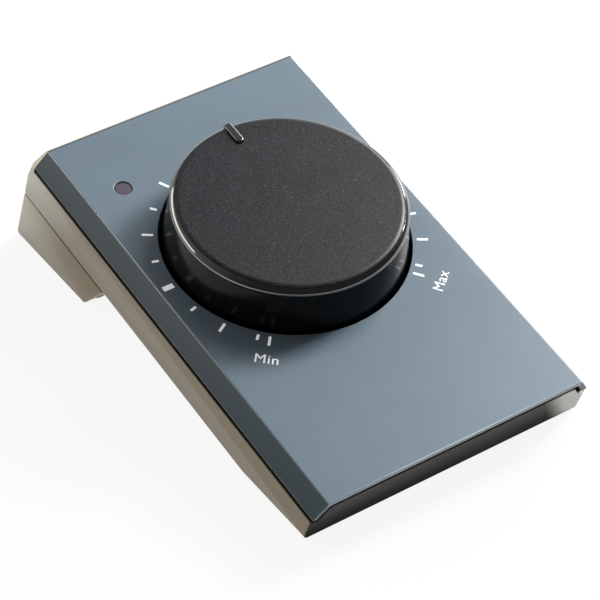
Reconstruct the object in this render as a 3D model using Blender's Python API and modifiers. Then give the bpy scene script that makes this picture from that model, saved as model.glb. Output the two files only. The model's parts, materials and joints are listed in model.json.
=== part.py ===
"""Studio monitor controller: a desk unit with one large volume knob on a sloping top.

The top panel is tilted up towards the rear. Two frames hold the pieces: the panel frame, whose x runs
right, y runs rearward along the top cover and z is the cover's normal, and the desk frame, which is level.
Both have their origin at the middle of the cover's front top edge. All sizes are in metres.
"""

import math

import bmesh
import bpy
from mathutils import Matrix, Vector

# Fits shared by all pieces
FIT = 0.0003
OVERRUN = 0.02
SHADING_ANGLE = math.radians(35.0)
FLAT_ANGLE = math.radians(0.5)
MERGE = 0.00001

# Slopes of the whole unit
PANEL_TILT = math.radians(9.65)
END_LEAN_ANGLE = math.radians(10.4)
FOOT_FRONT_ANGLE = math.radians(34.0)

# Signal sockets, whose row sets the unit's width
SOCKET_COUNT = 4
SOCKET_WIDTH = 0.0142
SOCKET_SPACING = 0.0008
SOCKET_LENGTH = 0.0180
SOCKET_SIDE_ROOM = 0.0015
SOCKET_HEAD_ROOM = 0.0014
SOCKET_FOOT_ROOM = 0.00075
SOCKET_ROOF_ROOM = 0.00384
SOCKET_NUT_RIM = 0.0010
SOCKET_NUT_THICKNESS = 0.0015
SOCKET_BUSH_WALL = 0.00125
SOCKET_BUSH_REACH = 0.0022
SOCKET_BORE_DEPTH = 0.0190

# Power inlet at the right end of the row
INLET_WIDTH = 0.0088
INLET_SPACING = 0.0005
INLET_LENGTH = 0.0130
INLET_SIDE_ROOM = 0.0004
INLET_COLLAR_WALL = 0.0009
INLET_BORE_DEPTH = 0.0110
INLET_PIN_RADIUS = 0.0010

# Socket plate and socket board
PLATE_LEFT_ROOM = 0.0049
PLATE_RIGHT_ROOM = 0.0046
PLATE_SIDE_ROOM = 0.00227
PLATE_THICKNESS = 0.0015
SOCKET_BOARD_INSET = 0.0045
SOCKET_BOARD_FRONT_ROOM = 0.0019
SOCKET_BOARD_THICKNESS = 0.0012

# Rear foot, the wedge block under the rear
FOOT_WALL = 0.0022
FOOT_FRONT_ROOM = 0.02067
FOOT_CORNER_RADIUS = 0.0010
FOOT_WINDOW_REBATE = 0.0030
FOOT_WINDOW_HEAD_ROOM = 0.00078
FOOT_BOSS_RADIUS = 0.0033
FOOT_BORE_ROOM = 0.0010
FOOT_POST_ROOF = 0.0011
FOOT_SCREW_INSET = 0.00517
FOOT_SCREW_FRONT_SETBACK = 0.0112
FOOT_SCREW_REAR_SETBACK = 0.00697

# Top cover, a folded sheet with even lands round the knob
FLANGE_RUN = 0.00349
FLANGE_DROP = 0.00575
COVER_SHEET = 0.0015
COVER_FOLD_RADIUS = 0.0006
KNOB_LAND = 0.00563
FRONT_LAND = 0.04555
REAR_LAND = 0.02322
LAMP_INSET = 0.01108
LAMP_SETBACK = 0.02117
LAMP_HOLE_RADIUS = 0.0026

# Housing, the lower tray
HOUSING_WALL = 0.0024
SIDE_TOP_DROP = 0.00175
SHADOW_GAP = 0.0012
REAR_WALL = 0.0027
REAR_LIP = 0.0006
REAR_BEVEL_DROP = 0.0110
HOUSING_EDGE_RADIUS = 0.0006
LINK_WINDOW_WIDTH = 0.0300
LINK_WINDOW_LENGTH = 0.0070
LINK_SETBACK = 0.0152
LINK_ROOM = 0.0012

# Inner deck, which carries the cover and the control
DECK_WALL = 0.0020
DECK_RECESS = 0.0013
DECK_SHOULDER_ROOM = 0.00015
DECK_SKIRT_DROP = 0.0025
DECK_FRONT_LIP = 0.0006
DECK_LEDGE_FALL = 0.0001
WELL_MARGIN = 0.00065
WELL_WALL = 0.0016
WELL_DEPTH = 0.0056
WELL_FLOOR = 0.0020

# Rubber pads on the desk side
PAD_THICKNESS = 0.0008
PAD_POCKET = 0.0006
FRONT_PAD_INSET = 0.00362
FRONT_PAD_LENGTH = 0.0088
FRONT_PAD_SETBACK = 0.0015
REAR_PAD_WIDTH = 0.0200
REAR_PAD_LENGTH = 0.0100
REAR_PAD_INSET = 0.01147
REAR_PAD_SETBACK = 0.0180

# Knob
KNOB_GAP = 0.00105
SKIRT_TOP = 0.0129
SKIRT_DRAFT = 0.00124
SKIRT_FLARE = 0.0001
SKIRT_FLOOR_ROOM = 0.0020
KNOB_WALL = 0.0020
KNOB_CROWN = 0.0030
RIM_WIDTH = 0.00126
RIM_RISE = 0.0014
RIM_SEAT = 0.0005
INLAY_RISE = 0.0003
INLAY_THICKNESS = 0.0016
INLAY_EDGE_RADIUS = 0.0003
POINTER_REACH = 0.0007
POINTER_LENGTH = 0.0075
POINTER_WIDTH = 0.0022
POINTER_RISE = 0.0008
HUB_WALL = 0.0027
HUB_ROOM = 0.0008
KNOB_RIB_COUNT = 6
KNOB_RIB_THICKNESS = 0.0012
KNOB_RIB_DEPTH = 0.0040

# Rotary control under the knob
SHAFT_RADIUS = 0.0030
SHAFT_HEAD_ROOM = 0.0004
SHAFT_FOOT_ROOM = 0.0026
SHAFT_FLAT_DEPTH = 0.0008
SHAFT_FLAT_LENGTH = 0.0085
BUSH_WALL = 0.0009
BUSH_RISE = 0.0004
WASHER_RIM = 0.0020
WASHER_THICKNESS = 0.0005
CONTROL_NUT_RIM = 0.0013
CONTROL_NUT_HEIGHT = 0.0018
CAN_RADIUS = 0.0120
CAN_HEIGHT = 0.0064
CAN_CORNER_RADIUS = 0.0008
CAN_TAB_WIDTH = 0.0140
CAN_TAB_LENGTH = 0.0040
CAN_TAB_THICKNESS = 0.0020

# Main circuit board
BOARD_INSET = 0.01097
BOARD_FRONT_ROOM = 0.0029
BOARD_REAR_ROOM = 0.00347
BOARD_THICKNESS = 0.0016
BOARD_LIFT = 0.0018
BOARD_SCREW_INSET = 0.0055
BOARD_SCREW_FRONT_SETBACK = 0.0080
BOARD_SCREW_REAR_SETBACK = 0.0070
STANDOFF_RADIUS = 0.0026

# Lamp beside the knob
LENS_GAP = 0.00032
LENS_RECESS = 0.0002
LENS_COLLAR_RIM = 0.00102
LENS_COLLAR_THICKNESS = 0.0010
LENS_STEM = 0.0009
LAMP_BODY_RADIUS = 0.0025
LAMP_BASE_RIM = 0.0004
LAMP_BASE_HEIGHT = 0.0010

# Screws, all with pan heads
CASE_SCREW_INSET = 0.00727
CASE_SCREW_FRONT_SETBACK = 0.0085
CASE_SCREW_REAR_SETBACK = 0.0058
CASE_BOSS_RADIUS = 0.0031
CASE_SCREW_LENGTH = 0.0080
CASE_HEAD_RADIUS = 0.0027
CASE_HEAD_HEIGHT = 0.0011
CASE_SHANK_RADIUS = 0.0013
FOOT_SCREW_LENGTH = 0.0100
FOOT_HEAD_SEAT = 0.0035
BOARD_SCREW_LENGTH = 0.0026
BOARD_HEAD_RADIUS = 0.0022
BOARD_HEAD_HEIGHT = 0.0010
BOARD_SHANK_RADIUS = 0.0010

# Shares of a corner's own size that are rounded or left flat
ROUND_END_SHARE = 0.98
PAN_CROWN_SHARE = 0.7

# Facets round turned pieces
FINE_STEPS = 96
MEDIUM_STEPS = 48
SMALL_STEPS = 20
SCREW_STEPS = 12
ARC_STEPS = 4

# Slopes as ratios
SIN_TILT = math.sin(PANEL_TILT)
COS_TILT = math.cos(PANEL_TILT)
END_LEAN = math.tan(END_LEAN_ANGLE)
FOOT_SLOPE = math.tan(FOOT_FRONT_ANGLE)

# Socket row and power inlet, from the left end of the plate
SOCKET_PITCH = SOCKET_WIDTH + SOCKET_SPACING
SOCKET_NUT_CORNER = (SOCKET_WIDTH - SOCKET_SIDE_ROOM) / 2
SOCKET_NUT_FLATS = SOCKET_NUT_CORNER * math.sqrt(3.0)
SOCKET_BUSH_RADIUS = SOCKET_NUT_FLATS / 2 - SOCKET_NUT_RIM
SOCKET_BORE_RADIUS = SOCKET_BUSH_RADIUS - SOCKET_BUSH_WALL
SOCKET_HEIGHT = 2 * SOCKET_BUSH_RADIUS + SOCKET_HEAD_ROOM
SOCKET_AXIS_HEIGHT = FOOT_WALL + SOCKET_NUT_CORNER + SOCKET_FOOT_ROOM
ROW_LENGTH = (SOCKET_COUNT - 1) * SOCKET_PITCH
INLET_STEP = SOCKET_WIDTH / 2 + INLET_SPACING + INLET_WIDTH / 2
ROW_LEFT = PLATE_LEFT_ROOM + SOCKET_WIDTH / 2
ROW_RIGHT = INLET_STEP + INLET_WIDTH / 2 + PLATE_RIGHT_ROOM
HALF_PLATE = (ROW_LEFT + ROW_LENGTH + ROW_RIGHT) / 2
SOCKET_FIRST = ROW_LEFT - HALF_PLATE
INLET_SIDE = SOCKET_FIRST + ROW_LENGTH + INLET_STEP
INLET_COLLAR_RADIUS = INLET_WIDTH / 2 - INLET_SIDE_ROOM
INLET_BORE_RADIUS = INLET_COLLAR_RADIUS - INLET_COLLAR_WALL
HALF_SOCKET_BOARD = HALF_PLATE - SOCKET_BOARD_INSET
HALF_FOOT_WINDOW = HALF_PLATE - FOOT_WINDOW_REBATE
FOOT_WINDOW_TOP = SOCKET_AXIS_HEIGHT + SOCKET_NUT_CORNER + FOOT_WINDOW_HEAD_ROOM

# Widths, worked outwards from the plate
HALF_HOUSING = HALF_PLATE + PLATE_SIDE_ROOM + FOOT_WALL
HALF_FLAT = HALF_HOUSING - FLANGE_RUN
HALF_FRONT_PAD = HALF_HOUSING - FRONT_PAD_INSET
REAR_PAD_SIDE = HALF_HOUSING - REAR_PAD_INSET - REAR_PAD_WIDTH / 2
HALF_BOARD = HALF_HOUSING - BOARD_INSET
BOARD_SCREW_SIDE = HALF_BOARD - BOARD_SCREW_INSET
CASE_SCREW_SIDE = HALF_HOUSING - CASE_SCREW_INSET
FOOT_SCREW_SIDE = HALF_HOUSING - FOOT_SCREW_INSET
LAMP_SIDE = HALF_FLAT - LAMP_INSET

# Knob and its well, as wide as the cover's lands leave room for
KNOB_HOLE_RADIUS = HALF_FLAT - KNOB_LAND
WELL_RADIUS = KNOB_HOLE_RADIUS + WELL_MARGIN
SKIRT_PANEL_RADIUS = KNOB_HOLE_RADIUS - KNOB_GAP
SKIRT_TOP_RADIUS = SKIRT_PANEL_RADIUS - SKIRT_DRAFT
SKIRT_FOOT_RADIUS = SKIRT_PANEL_RADIUS + SKIRT_FLARE
SKIRT_FOOT = WELL_DEPTH - SKIRT_FLOOR_ROOM
RIM_TOP_RADIUS = SKIRT_TOP_RADIUS - RIM_WIDTH
RIM_TOP = SKIRT_TOP + RIM_RISE
INLAY_TOP = RIM_TOP + INLAY_RISE
INLAY_FOOT = INLAY_TOP - INLAY_THICKNESS
KNOB_CEILING = INLAY_FOOT - FIT - KNOB_CROWN
POINTER_TOP = INLAY_TOP + POINTER_RISE
POINTER_OUTER = RIM_TOP_RADIUS + POINTER_REACH
POINTER_INNER = POINTER_OUTER - POINTER_LENGTH

# Control, stacked up from the well's floor
SHAFT_BORE = SHAFT_RADIUS + FIT
BUSH_RADIUS = SHAFT_BORE + BUSH_WALL
WASHER_RADIUS = BUSH_RADIUS + WASHER_RIM
CONTROL_NUT_FLATS = 2 * (BUSH_RADIUS + CONTROL_NUT_RIM)
WASHER_TOP = FIT + WASHER_THICKNESS - WELL_DEPTH
CONTROL_NUT_TOP = WASHER_TOP + FIT + CONTROL_NUT_HEIGHT
BUSH_TOP = CONTROL_NUT_TOP + BUSH_RISE
HUB_FOOT = BUSH_TOP + HUB_ROOM
HUB_RADIUS = SHAFT_BORE + HUB_WALL
SHAFT_TOP = KNOB_CEILING - SHAFT_HEAD_ROOM

# Depths below the panel plane, stacked down from the well
SHELF_DEPTH = WELL_DEPTH + WELL_FLOOR
CAN_TOP_DEPTH = SHELF_DEPTH + FIT
CAN_FOOT_DEPTH = CAN_TOP_DEPTH + CAN_HEIGHT
BOARD_TOP = CAN_FOOT_DEPTH + FIT
BOARD_FOOT = BOARD_TOP + BOARD_THICKNESS
FLOOR_DEPTH = BOARD_FOOT + BOARD_LIFT
HOUSING_DEPTH = FLOOR_DEPTH + HOUSING_WALL
SHAFT_FOOT_DEPTH = BOARD_TOP - SHAFT_FOOT_ROOM
HOUSING_SIDE_TOP = FLANGE_DROP + SIDE_TOP_DROP
DECK_SHOULDER_DROP = FLANGE_DROP + DECK_SHOULDER_ROOM
DECK_SKIRT_DEPTH = HOUSING_SIDE_TOP + DECK_SKIRT_DROP
FOOT_TOP = HOUSING_DEPTH + FIT

# Stations along the panel, from the front edge to the rear
KNOB_STATION = FRONT_LAND + KNOB_HOLE_RADIUS
COVER_LENGTH = KNOB_STATION + KNOB_HOLE_RADIUS + REAR_LAND
LAMP_STATION = COVER_LENGTH - LAMP_SETBACK
REAR_INNER_STATION = COVER_LENGTH + FIT
REAR_STATION = REAR_INNER_STATION + REAR_WALL
FOOT_START = REAR_STATION - SOCKET_LENGTH - FOOT_FRONT_ROOM
FOOT_FRONT_STATION = FOOT_START - FOOT_TOP * FOOT_SLOPE
FOOT_INNER_FRONT = FOOT_FRONT_STATION + FOOT_WALL * math.hypot(1, FOOT_SLOPE)
FOOT_INNER_REAR = REAR_STATION - FOOT_WALL
LINK_STATION = FOOT_START + LINK_SETBACK


def on_end(station, depth):
    """The point of a leaning end plane at a depth below the panel plane."""
    return station + END_LEAN * depth, -depth


def desk_y_of(point):
    """The level distance behind the front edge of a panel frame (y, z) point."""
    return point[0] * COS_TILT - point[1] * SIN_TILT


def underside_height(desk_y):
    """The level height of the housing's underside at a level distance from the front edge."""
    y = (desk_y - HOUSING_DEPTH * SIN_TILT) / COS_TILT
    return y * SIN_TILT - HOUSING_DEPTH * COS_TILT


# Heights above the foot's underside, stacked up to the housing, which set the front edge's height
PLATE_FRONT = desk_y_of(on_end(FOOT_INNER_REAR, FOOT_TOP)) - PLATE_THICKNESS - FIT
SOCKET_BODY_RISE = FOOT_WALL + 2 * FIT + SOCKET_BOARD_THICKNESS
SOCKET_STACK = SOCKET_BODY_RISE + SOCKET_HEIGHT + SOCKET_ROOF_ROOM
FRONT_EDGE_HEIGHT = SOCKET_STACK - underside_height(PLATE_FRONT)


def on_desk_line(station, slope, height):
    """The point where a sloping end plane is the given height above the unit's underside."""
    below = FRONT_EDGE_HEIGHT - height
    z = -(below + station * SIN_TILT) / (COS_TILT - slope * SIN_TILT)
    return station - slope * z, z


def desk_line_at_depth(depth, height):
    """The point of a level line, a height above the underside, at a depth below the panel plane."""
    below = FRONT_EDGE_HEIGHT - height
    return (depth * COS_TILT - below) / SIN_TILT, -depth


def rounded(points, radius, chosen=None, steps=ARC_STEPS):
    """The same outline with its chosen corners turned into arcs of the given radius."""
    outline = []
    count = len(points)
    for index, point in enumerate(points):
        here = Vector(point)
        if chosen is not None and index not in chosen:
            outline.append(tuple(here))
            continue
        before = (Vector(points[index - 1]) - here).normalized()
        after = (Vector(points[(index + 1) % count]) - here).normalized()
        half_angle = before.angle(after) / 2
        setback = radius / math.tan(half_angle)
        centre = here + (before + after).normalized() * (radius / math.sin(half_angle))
        start = here + before * setback - centre
        end = here + after * setback - centre
        sweep = start.angle_signed(end)
        for step in range(steps + 1):
            turned = start.copy()
            turned.rotate(Matrix.Rotation(-sweep * step / steps, 2))
            outline.append(tuple(centre + turned))
    return outline


def foot_outline():
    """The rear foot's side view: seam, sloping front, level bottom and rear plane."""
    outline = [
        (FOOT_START, -FOOT_TOP),
        on_desk_line(FOOT_FRONT_STATION, FOOT_SLOPE, 0),
        on_desk_line(REAR_STATION, END_LEAN, 0),
        on_end(REAR_STATION, FOOT_TOP),
    ]
    return rounded(outline, FOOT_CORNER_RADIUS, chosen=(1, 2))


# Places that follow the front edge's height
BEND_STATION = desk_line_at_depth(HOUSING_DEPTH, 0)[0]
BOARD_START = desk_line_at_depth(BOARD_FOOT, HOUSING_WALL)[0] + BOARD_FRONT_ROOM
BOARD_END = COVER_LENGTH - BOARD_REAR_ROOM
BOARD_SCREW_STATIONS = (BOARD_START + BOARD_SCREW_FRONT_SETBACK, BOARD_END - BOARD_SCREW_REAR_SETBACK)
CASE_SCREW_STATIONS = (BEND_STATION + CASE_SCREW_FRONT_SETBACK, FOOT_START - CASE_SCREW_REAR_SETBACK)
FOOT_SCREW_STATIONS = (FOOT_START + FOOT_SCREW_FRONT_SETBACK, REAR_STATION - FOOT_SCREW_REAR_SETBACK)
FOOT_INNER_CORNER = on_desk_line(FOOT_INNER_FRONT, FOOT_SLOPE, FOOT_WALL)
SOCKET_BOARD_START = desk_y_of(FOOT_INNER_CORNER) + SOCKET_BOARD_FRONT_ROOM
SOCKET_BOARD_FOOT = FOOT_WALL + FIT - FRONT_EDGE_HEIGHT
SOCKET_BODY_FOOT = SOCKET_BODY_RISE - FRONT_EDGE_HEIGHT
SOCKET_AXIS = SOCKET_AXIS_HEIGHT - FRONT_EDGE_HEIGHT
FRONT_PAD_START = desk_y_of(on_desk_line(0, END_LEAN, 0)) + FRONT_PAD_SETBACK
LENS_RADIUS = LAMP_HOLE_RADIUS - LENS_GAP
KNOB_PLACE = (0, KNOB_STATION)
LAMP_PLACE = (-LAMP_SIDE, LAMP_STATION)

# The unit stands with its lowest point at zero and its plan centred on the origin
REAR_REACH = max(desk_y_of(point) for point in foot_outline())
REAR_PAD_FRONT = REAR_REACH - REAR_PAD_SETBACK


def clear_scene():
    """Takes every object out of the file."""
    for item in list(bpy.data.objects):
        bpy.data.objects.remove(item, do_unlink=True)


def new_collection(name):
    """A collection linked to the scene."""
    group = bpy.data.collections.new(name)
    bpy.context.scene.collection.children.link(group)
    return group


clear_scene()
PARTS = new_collection("studio_monitor_controller")
CUTTERS = new_collection("cutters")
CUTTERS.hide_render = True


def new_frame(name, location, tilt, parent=None):
    """An empty that pieces are placed on."""
    empty = bpy.data.objects.new(name, None)
    empty.empty_display_size = COVER_SHEET
    empty.location = location
    empty.rotation_euler = (tilt, 0, 0)
    empty.parent = parent
    PARTS.objects.link(empty)
    return empty


DESK = new_frame("desk_frame", (0, -REAR_REACH / 2, FRONT_EDGE_HEIGHT + PAD_THICKNESS), 0)
PANEL = new_frame("panel_frame", (0, 0, 0), PANEL_TILT, DESK)
KNOB_AXIS = new_frame("knob_axis", (0, KNOB_STATION, 0), 0, PANEL)


def material(name, colour, roughness, metallic):
    """A plain surface with the piece's own colour."""
    found = bpy.data.materials.get(name)
    if found:
        return found
    made = bpy.data.materials.new(name)
    made.use_nodes = True
    shader = made.node_tree.nodes["Principled BSDF"]
    shader.inputs["Base Color"].default_value = (*colour, 1.0)
    shader.inputs["Roughness"].default_value = roughness
    shader.inputs["Metallic"].default_value = metallic
    return made


COVER_PAINT = material("cover_paint", (0.22, 0.28, 0.32), 0.45, 0.0)
HOUSING_METAL = material("housing_metal", (0.42, 0.40, 0.36), 0.40, 0.9)
DECK_PLASTIC = material("deck_plastic", (0.012, 0.012, 0.013), 0.60, 0.0)
PAD_RUBBER = material("pad_rubber", (0.02, 0.02, 0.02), 0.85, 0.0)
KNOB_GLOSS = material("knob_gloss", (0.010, 0.009, 0.008), 0.12, 0.0)
RIM_GLOSS = material("rim_gloss", (0.010, 0.009, 0.008), 0.08, 0.0)
INLAY_SATIN = material("inlay_satin", (0.035, 0.035, 0.040), 0.55, 0.0)
POINTER_GLOSS = material("pointer_gloss", (0.02, 0.02, 0.02), 0.10, 0.0)
STEEL = material("zinc_steel", (0.60, 0.61, 0.62), 0.35, 1.0)
BRASS_NICKEL = material("nickel_brass", (0.68, 0.65, 0.58), 0.30, 1.0)
BOARD_GREEN = material("board_green", (0.02, 0.14, 0.06), 0.40, 0.0)
SOCKET_PLASTIC = material("socket_plastic", (0.015, 0.015, 0.016), 0.45, 0.0)
LENS_PLASTIC = material("lens_plastic", (0.14, 0.12, 0.16), 0.15, 0.0)
LIGHT_PIPE = material("light_pipe", (0.75, 0.76, 0.78), 0.20, 0.0)
PLATE_METAL = material("plate_metal", (0.05, 0.05, 0.05), 0.45, 0.3)


def add_object(name, mesh, group, parent, surface=None, place=None):
    """An object for a mesh, on its parent frame and in its collection."""
    item = bpy.data.objects.new(name, mesh)
    group.objects.link(item)
    item.parent = parent
    item.matrix_basis = place if place else Matrix.Identity(4)
    if surface:
        mesh.materials.clear()
        mesh.materials.append(surface)
    if group is CUTTERS:
        item.hide_render = True
        item.display_type = "WIRE"
    return item


def part(name, mesh, parent, surface, place=None):
    """A piece of the unit."""
    return add_object(name, mesh, PARTS, parent, surface, place)


def cutter(name, mesh, parent, place=None):
    """A shape that only cuts or joins, and isn't a piece."""
    return add_object(name, mesh, CUTTERS, parent, None, place)


def boolean(item, other, operation="DIFFERENCE"):
    """Cuts a piece with another shape, or joins the shape to it."""
    step = item.modifiers.new(operation.lower() + "_" + other.name, "BOOLEAN")
    step.operation = operation
    step.solver = "EXACT"
    step.object = other
    return item


def cut(item, *shapes):
    """Cuts each shape out of a piece, in order."""
    for shape in shapes:
        boolean(item, shape)
    return item


def join(item, *shapes):
    """Joins each shape to a piece, in order."""
    for shape in shapes:
        boolean(item, shape, "UNION")
    return item


def smooth(item):
    """Smooth shading with the sharp corners kept."""
    item.data.shade_smooth()
    item.data.set_sharp_from_angle(angle=SHADING_ANGLE)
    return item


def round_edges(item, width, segments=2):
    """Rounds the edges that turn by more than the shading angle."""
    step = item.modifiers.new("rounded_edges", "BEVEL")
    step.width = width
    step.segments = segments
    step.limit_method = "ANGLE"
    step.angle_limit = SHADING_ANGLE
    return item


def flat_outline_mesh(name, points, thickness):
    """A closed outline in the local xy plane, thickened evenly along local z."""
    curve = bpy.data.curves.new(name, "CURVE")
    curve.dimensions = "2D"
    curve.fill_mode = "BOTH"
    curve.extrude = thickness / 2
    spline = curve.splines.new("POLY")
    spline.points.add(len(points) - 1)
    for target, (u, v) in zip(spline.points, points):
        target.co = (u, v, 0, 1)
    spline.use_cyclic_u = True
    guide = bpy.data.objects.new(name, curve)
    CUTTERS.objects.link(guide)
    bpy.context.view_layer.update()
    mesh = bpy.data.meshes.new_from_object(guide.evaluated_get(bpy.context.evaluated_depsgraph_get()))
    bpy.data.objects.remove(guide)
    bpy.data.curves.remove(curve)
    shape = bmesh.new()
    shape.from_mesh(mesh)
    bmesh.ops.remove_doubles(shape, verts=shape.verts, dist=MERGE)
    bmesh.ops.dissolve_limit(shape, angle_limit=FLAT_ANGLE, verts=shape.verts, edges=shape.edges)
    bmesh.ops.recalc_face_normals(shape, faces=shape.faces)
    shape.to_mesh(mesh)
    shape.free()
    mesh.name = name
    return mesh


# Local xy of an outline becomes the frame's xz for a section, and its yz for a side view
SECTION_TURN = Matrix.Rotation(math.radians(90.0), 4, "X")
SIDE_TURN = Matrix(((0, 0, 1, 0), (1, 0, 0, 0), (0, 1, 0, 0), (0, 0, 0, 1)))

# Local z of a turned piece becomes the desk frame's y
ALONG_Y = Matrix.Rotation(math.radians(-90.0), 4, "X")


def leaning_prism(name, section, start, end):
    """A cross section in xz run along the panel between two end planes that both lean rearward."""
    mesh = flat_outline_mesh(name, section, end - start)
    lean = Matrix.Identity(4)
    lean[2][1] = END_LEAN
    mesh.transform(lean)
    mesh.transform(SECTION_TURN)
    mesh.transform(Matrix.Translation((0, (start + end) / 2, 0)))
    return mesh


def side_prism(name, outline, half_width, middle=0):
    """A side view in yz run evenly to both sides of a plane across the unit."""
    mesh = flat_outline_mesh(name, outline, 2 * half_width)
    mesh.transform(SIDE_TURN)
    mesh.transform(Matrix.Translation((middle, 0, 0)))
    return mesh


def box_mesh(name, low, high):
    """A box between two corners."""
    shape = bmesh.new()
    bmesh.ops.create_cube(shape, size=1.0)
    mesh = bpy.data.meshes.new(name)
    shape.to_mesh(mesh)
    shape.free()
    size = [high[axis] - low[axis] for axis in range(3)]
    middle = [(high[axis] + low[axis]) / 2 for axis in range(3)]
    mesh.transform(Matrix.Translation(middle) @ Matrix.Diagonal((*size, 1.0)))
    return mesh


def cylinder_mesh(name, radius, bottom, top, steps=SMALL_STEPS, place=(0, 0)):
    """An upright cylinder between two heights."""
    shape = bmesh.new()
    bmesh.ops.create_cone(
        shape, cap_ends=True, segments=steps, radius1=radius, radius2=radius, depth=top - bottom
    )
    mesh = bpy.data.meshes.new(name)
    shape.to_mesh(mesh)
    shape.free()
    mesh.transform(Matrix.Translation((place[0], place[1], (top + bottom) / 2)))
    return mesh


def turned(name, profile, parent, surface, steps=FINE_STEPS, place=None, closed=False, group=None):
    """A profile in xz, run down its outer side, turned about z."""
    edges = [(index, index + 1) for index in range(len(profile) - 1)]
    if closed:
        edges.append((len(profile) - 1, 0))
    mesh = bpy.data.meshes.new(name)
    mesh.from_pydata([(radius, 0, height) for radius, height in profile], edges, [])
    item = add_object(name, mesh, group or PARTS, parent, surface, place)
    step = item.modifiers.new("turned", "SCREW")
    step.steps = steps
    step.render_steps = steps
    step.use_merge_vertices = True
    step.merge_threshold = MERGE
    step.use_smooth_shade = True
    return item


def hexagon_mesh(name, across_flats, thickness):
    """A hexagon centred on z, lying on the xy plane and rising by its thickness."""
    return cylinder_mesh(name, across_flats / math.sqrt(3.0), 0, thickness, steps=6)


def ring_profile(inner, outer, bottom, top):
    """The profile of a plain ring."""
    return [(inner, top), (outer, top), (outer, bottom), (inner, bottom)]


def rod(name, radius, bottom, top, place=(0, 0), steps=SMALL_STEPS, parent=PANEL, turn=None):
    """An upright cylinder that only cuts or joins."""
    return cutter(name, cylinder_mesh(name, radius, bottom, top, steps, place), parent, turn)


def block(name, low, high, parent=PANEL, turn=None):
    """A box between two corners that only cuts or joins."""
    return cutter(name, box_mesh(name, low, high), parent, turn)


def both_sides(name, side, stations):
    """A name and a place for each station, on the left and then on the right."""
    for word, sign in (("left", -1), ("right", 1)):
        for index, station in enumerate(stations):
            yield name + "_" + word + "_" + str(index + 1), (sign * side, station)


def mirrored(right, from_left=False):
    """The outline of a right half and its mirror image, run from the left or from the middle."""
    left = [(-x, z) for x, z in reversed(right)]
    return right + left if from_left else left + right


def cover_section(offset):
    """The cover's outer shape at a distance inside it: both flange feet and both folds, left to right."""
    run = math.hypot(FLANGE_RUN, FLANGE_DROP)
    fold_half_angle = math.atan2(FLANGE_DROP, FLANGE_RUN) / 2
    fold = (HALF_FLAT - offset * math.tan(fold_half_angle), -offset)
    foot = (
        HALF_FLAT + FLANGE_RUN - offset * FLANGE_DROP / run,
        -FLANGE_DROP - offset * FLANGE_RUN / run,
    )
    return [(-foot[0], foot[1]), (-fold[0], fold[1]), fold, foot]


def down_flange(offset, depth):
    """The sideways place, at a depth, of a surface that lies at an offset inside the cover's flange."""
    fold = cover_section(offset)[2]
    return fold[0] + (depth + fold[1]) * FLANGE_RUN / FLANGE_DROP


def flange_depth(offset, side):
    """The depth, at a sideways place, of a surface that lies at an offset inside the cover's flange."""
    fold = cover_section(offset)[2]
    return (side - fold[0]) * FLANGE_DROP / FLANGE_RUN - fold[1]


# Top cover

def make_cover():
    """The folded sheet with its knob hole and lamp hole."""
    outer = rounded(cover_section(0), COVER_FOLD_RADIUS, chosen=(1, 2))
    inner = cover_section(COVER_SHEET)[::-1]
    sheet = leaning_prism("top_cover", outer + inner, 0, COVER_LENGTH)
    cover = part("top_cover", sheet, PANEL, COVER_PAINT)
    knob_hole = rod("cover_knob_hole", KNOB_HOLE_RADIUS, -OVERRUN, OVERRUN, KNOB_PLACE, FINE_STEPS)
    lamp_hole = rod("cover_lamp_hole", LAMP_HOLE_RADIUS, -OVERRUN, OVERRUN, LAMP_PLACE)
    return cut(cover, knob_hole, lamp_hole)


# Inner deck

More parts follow.
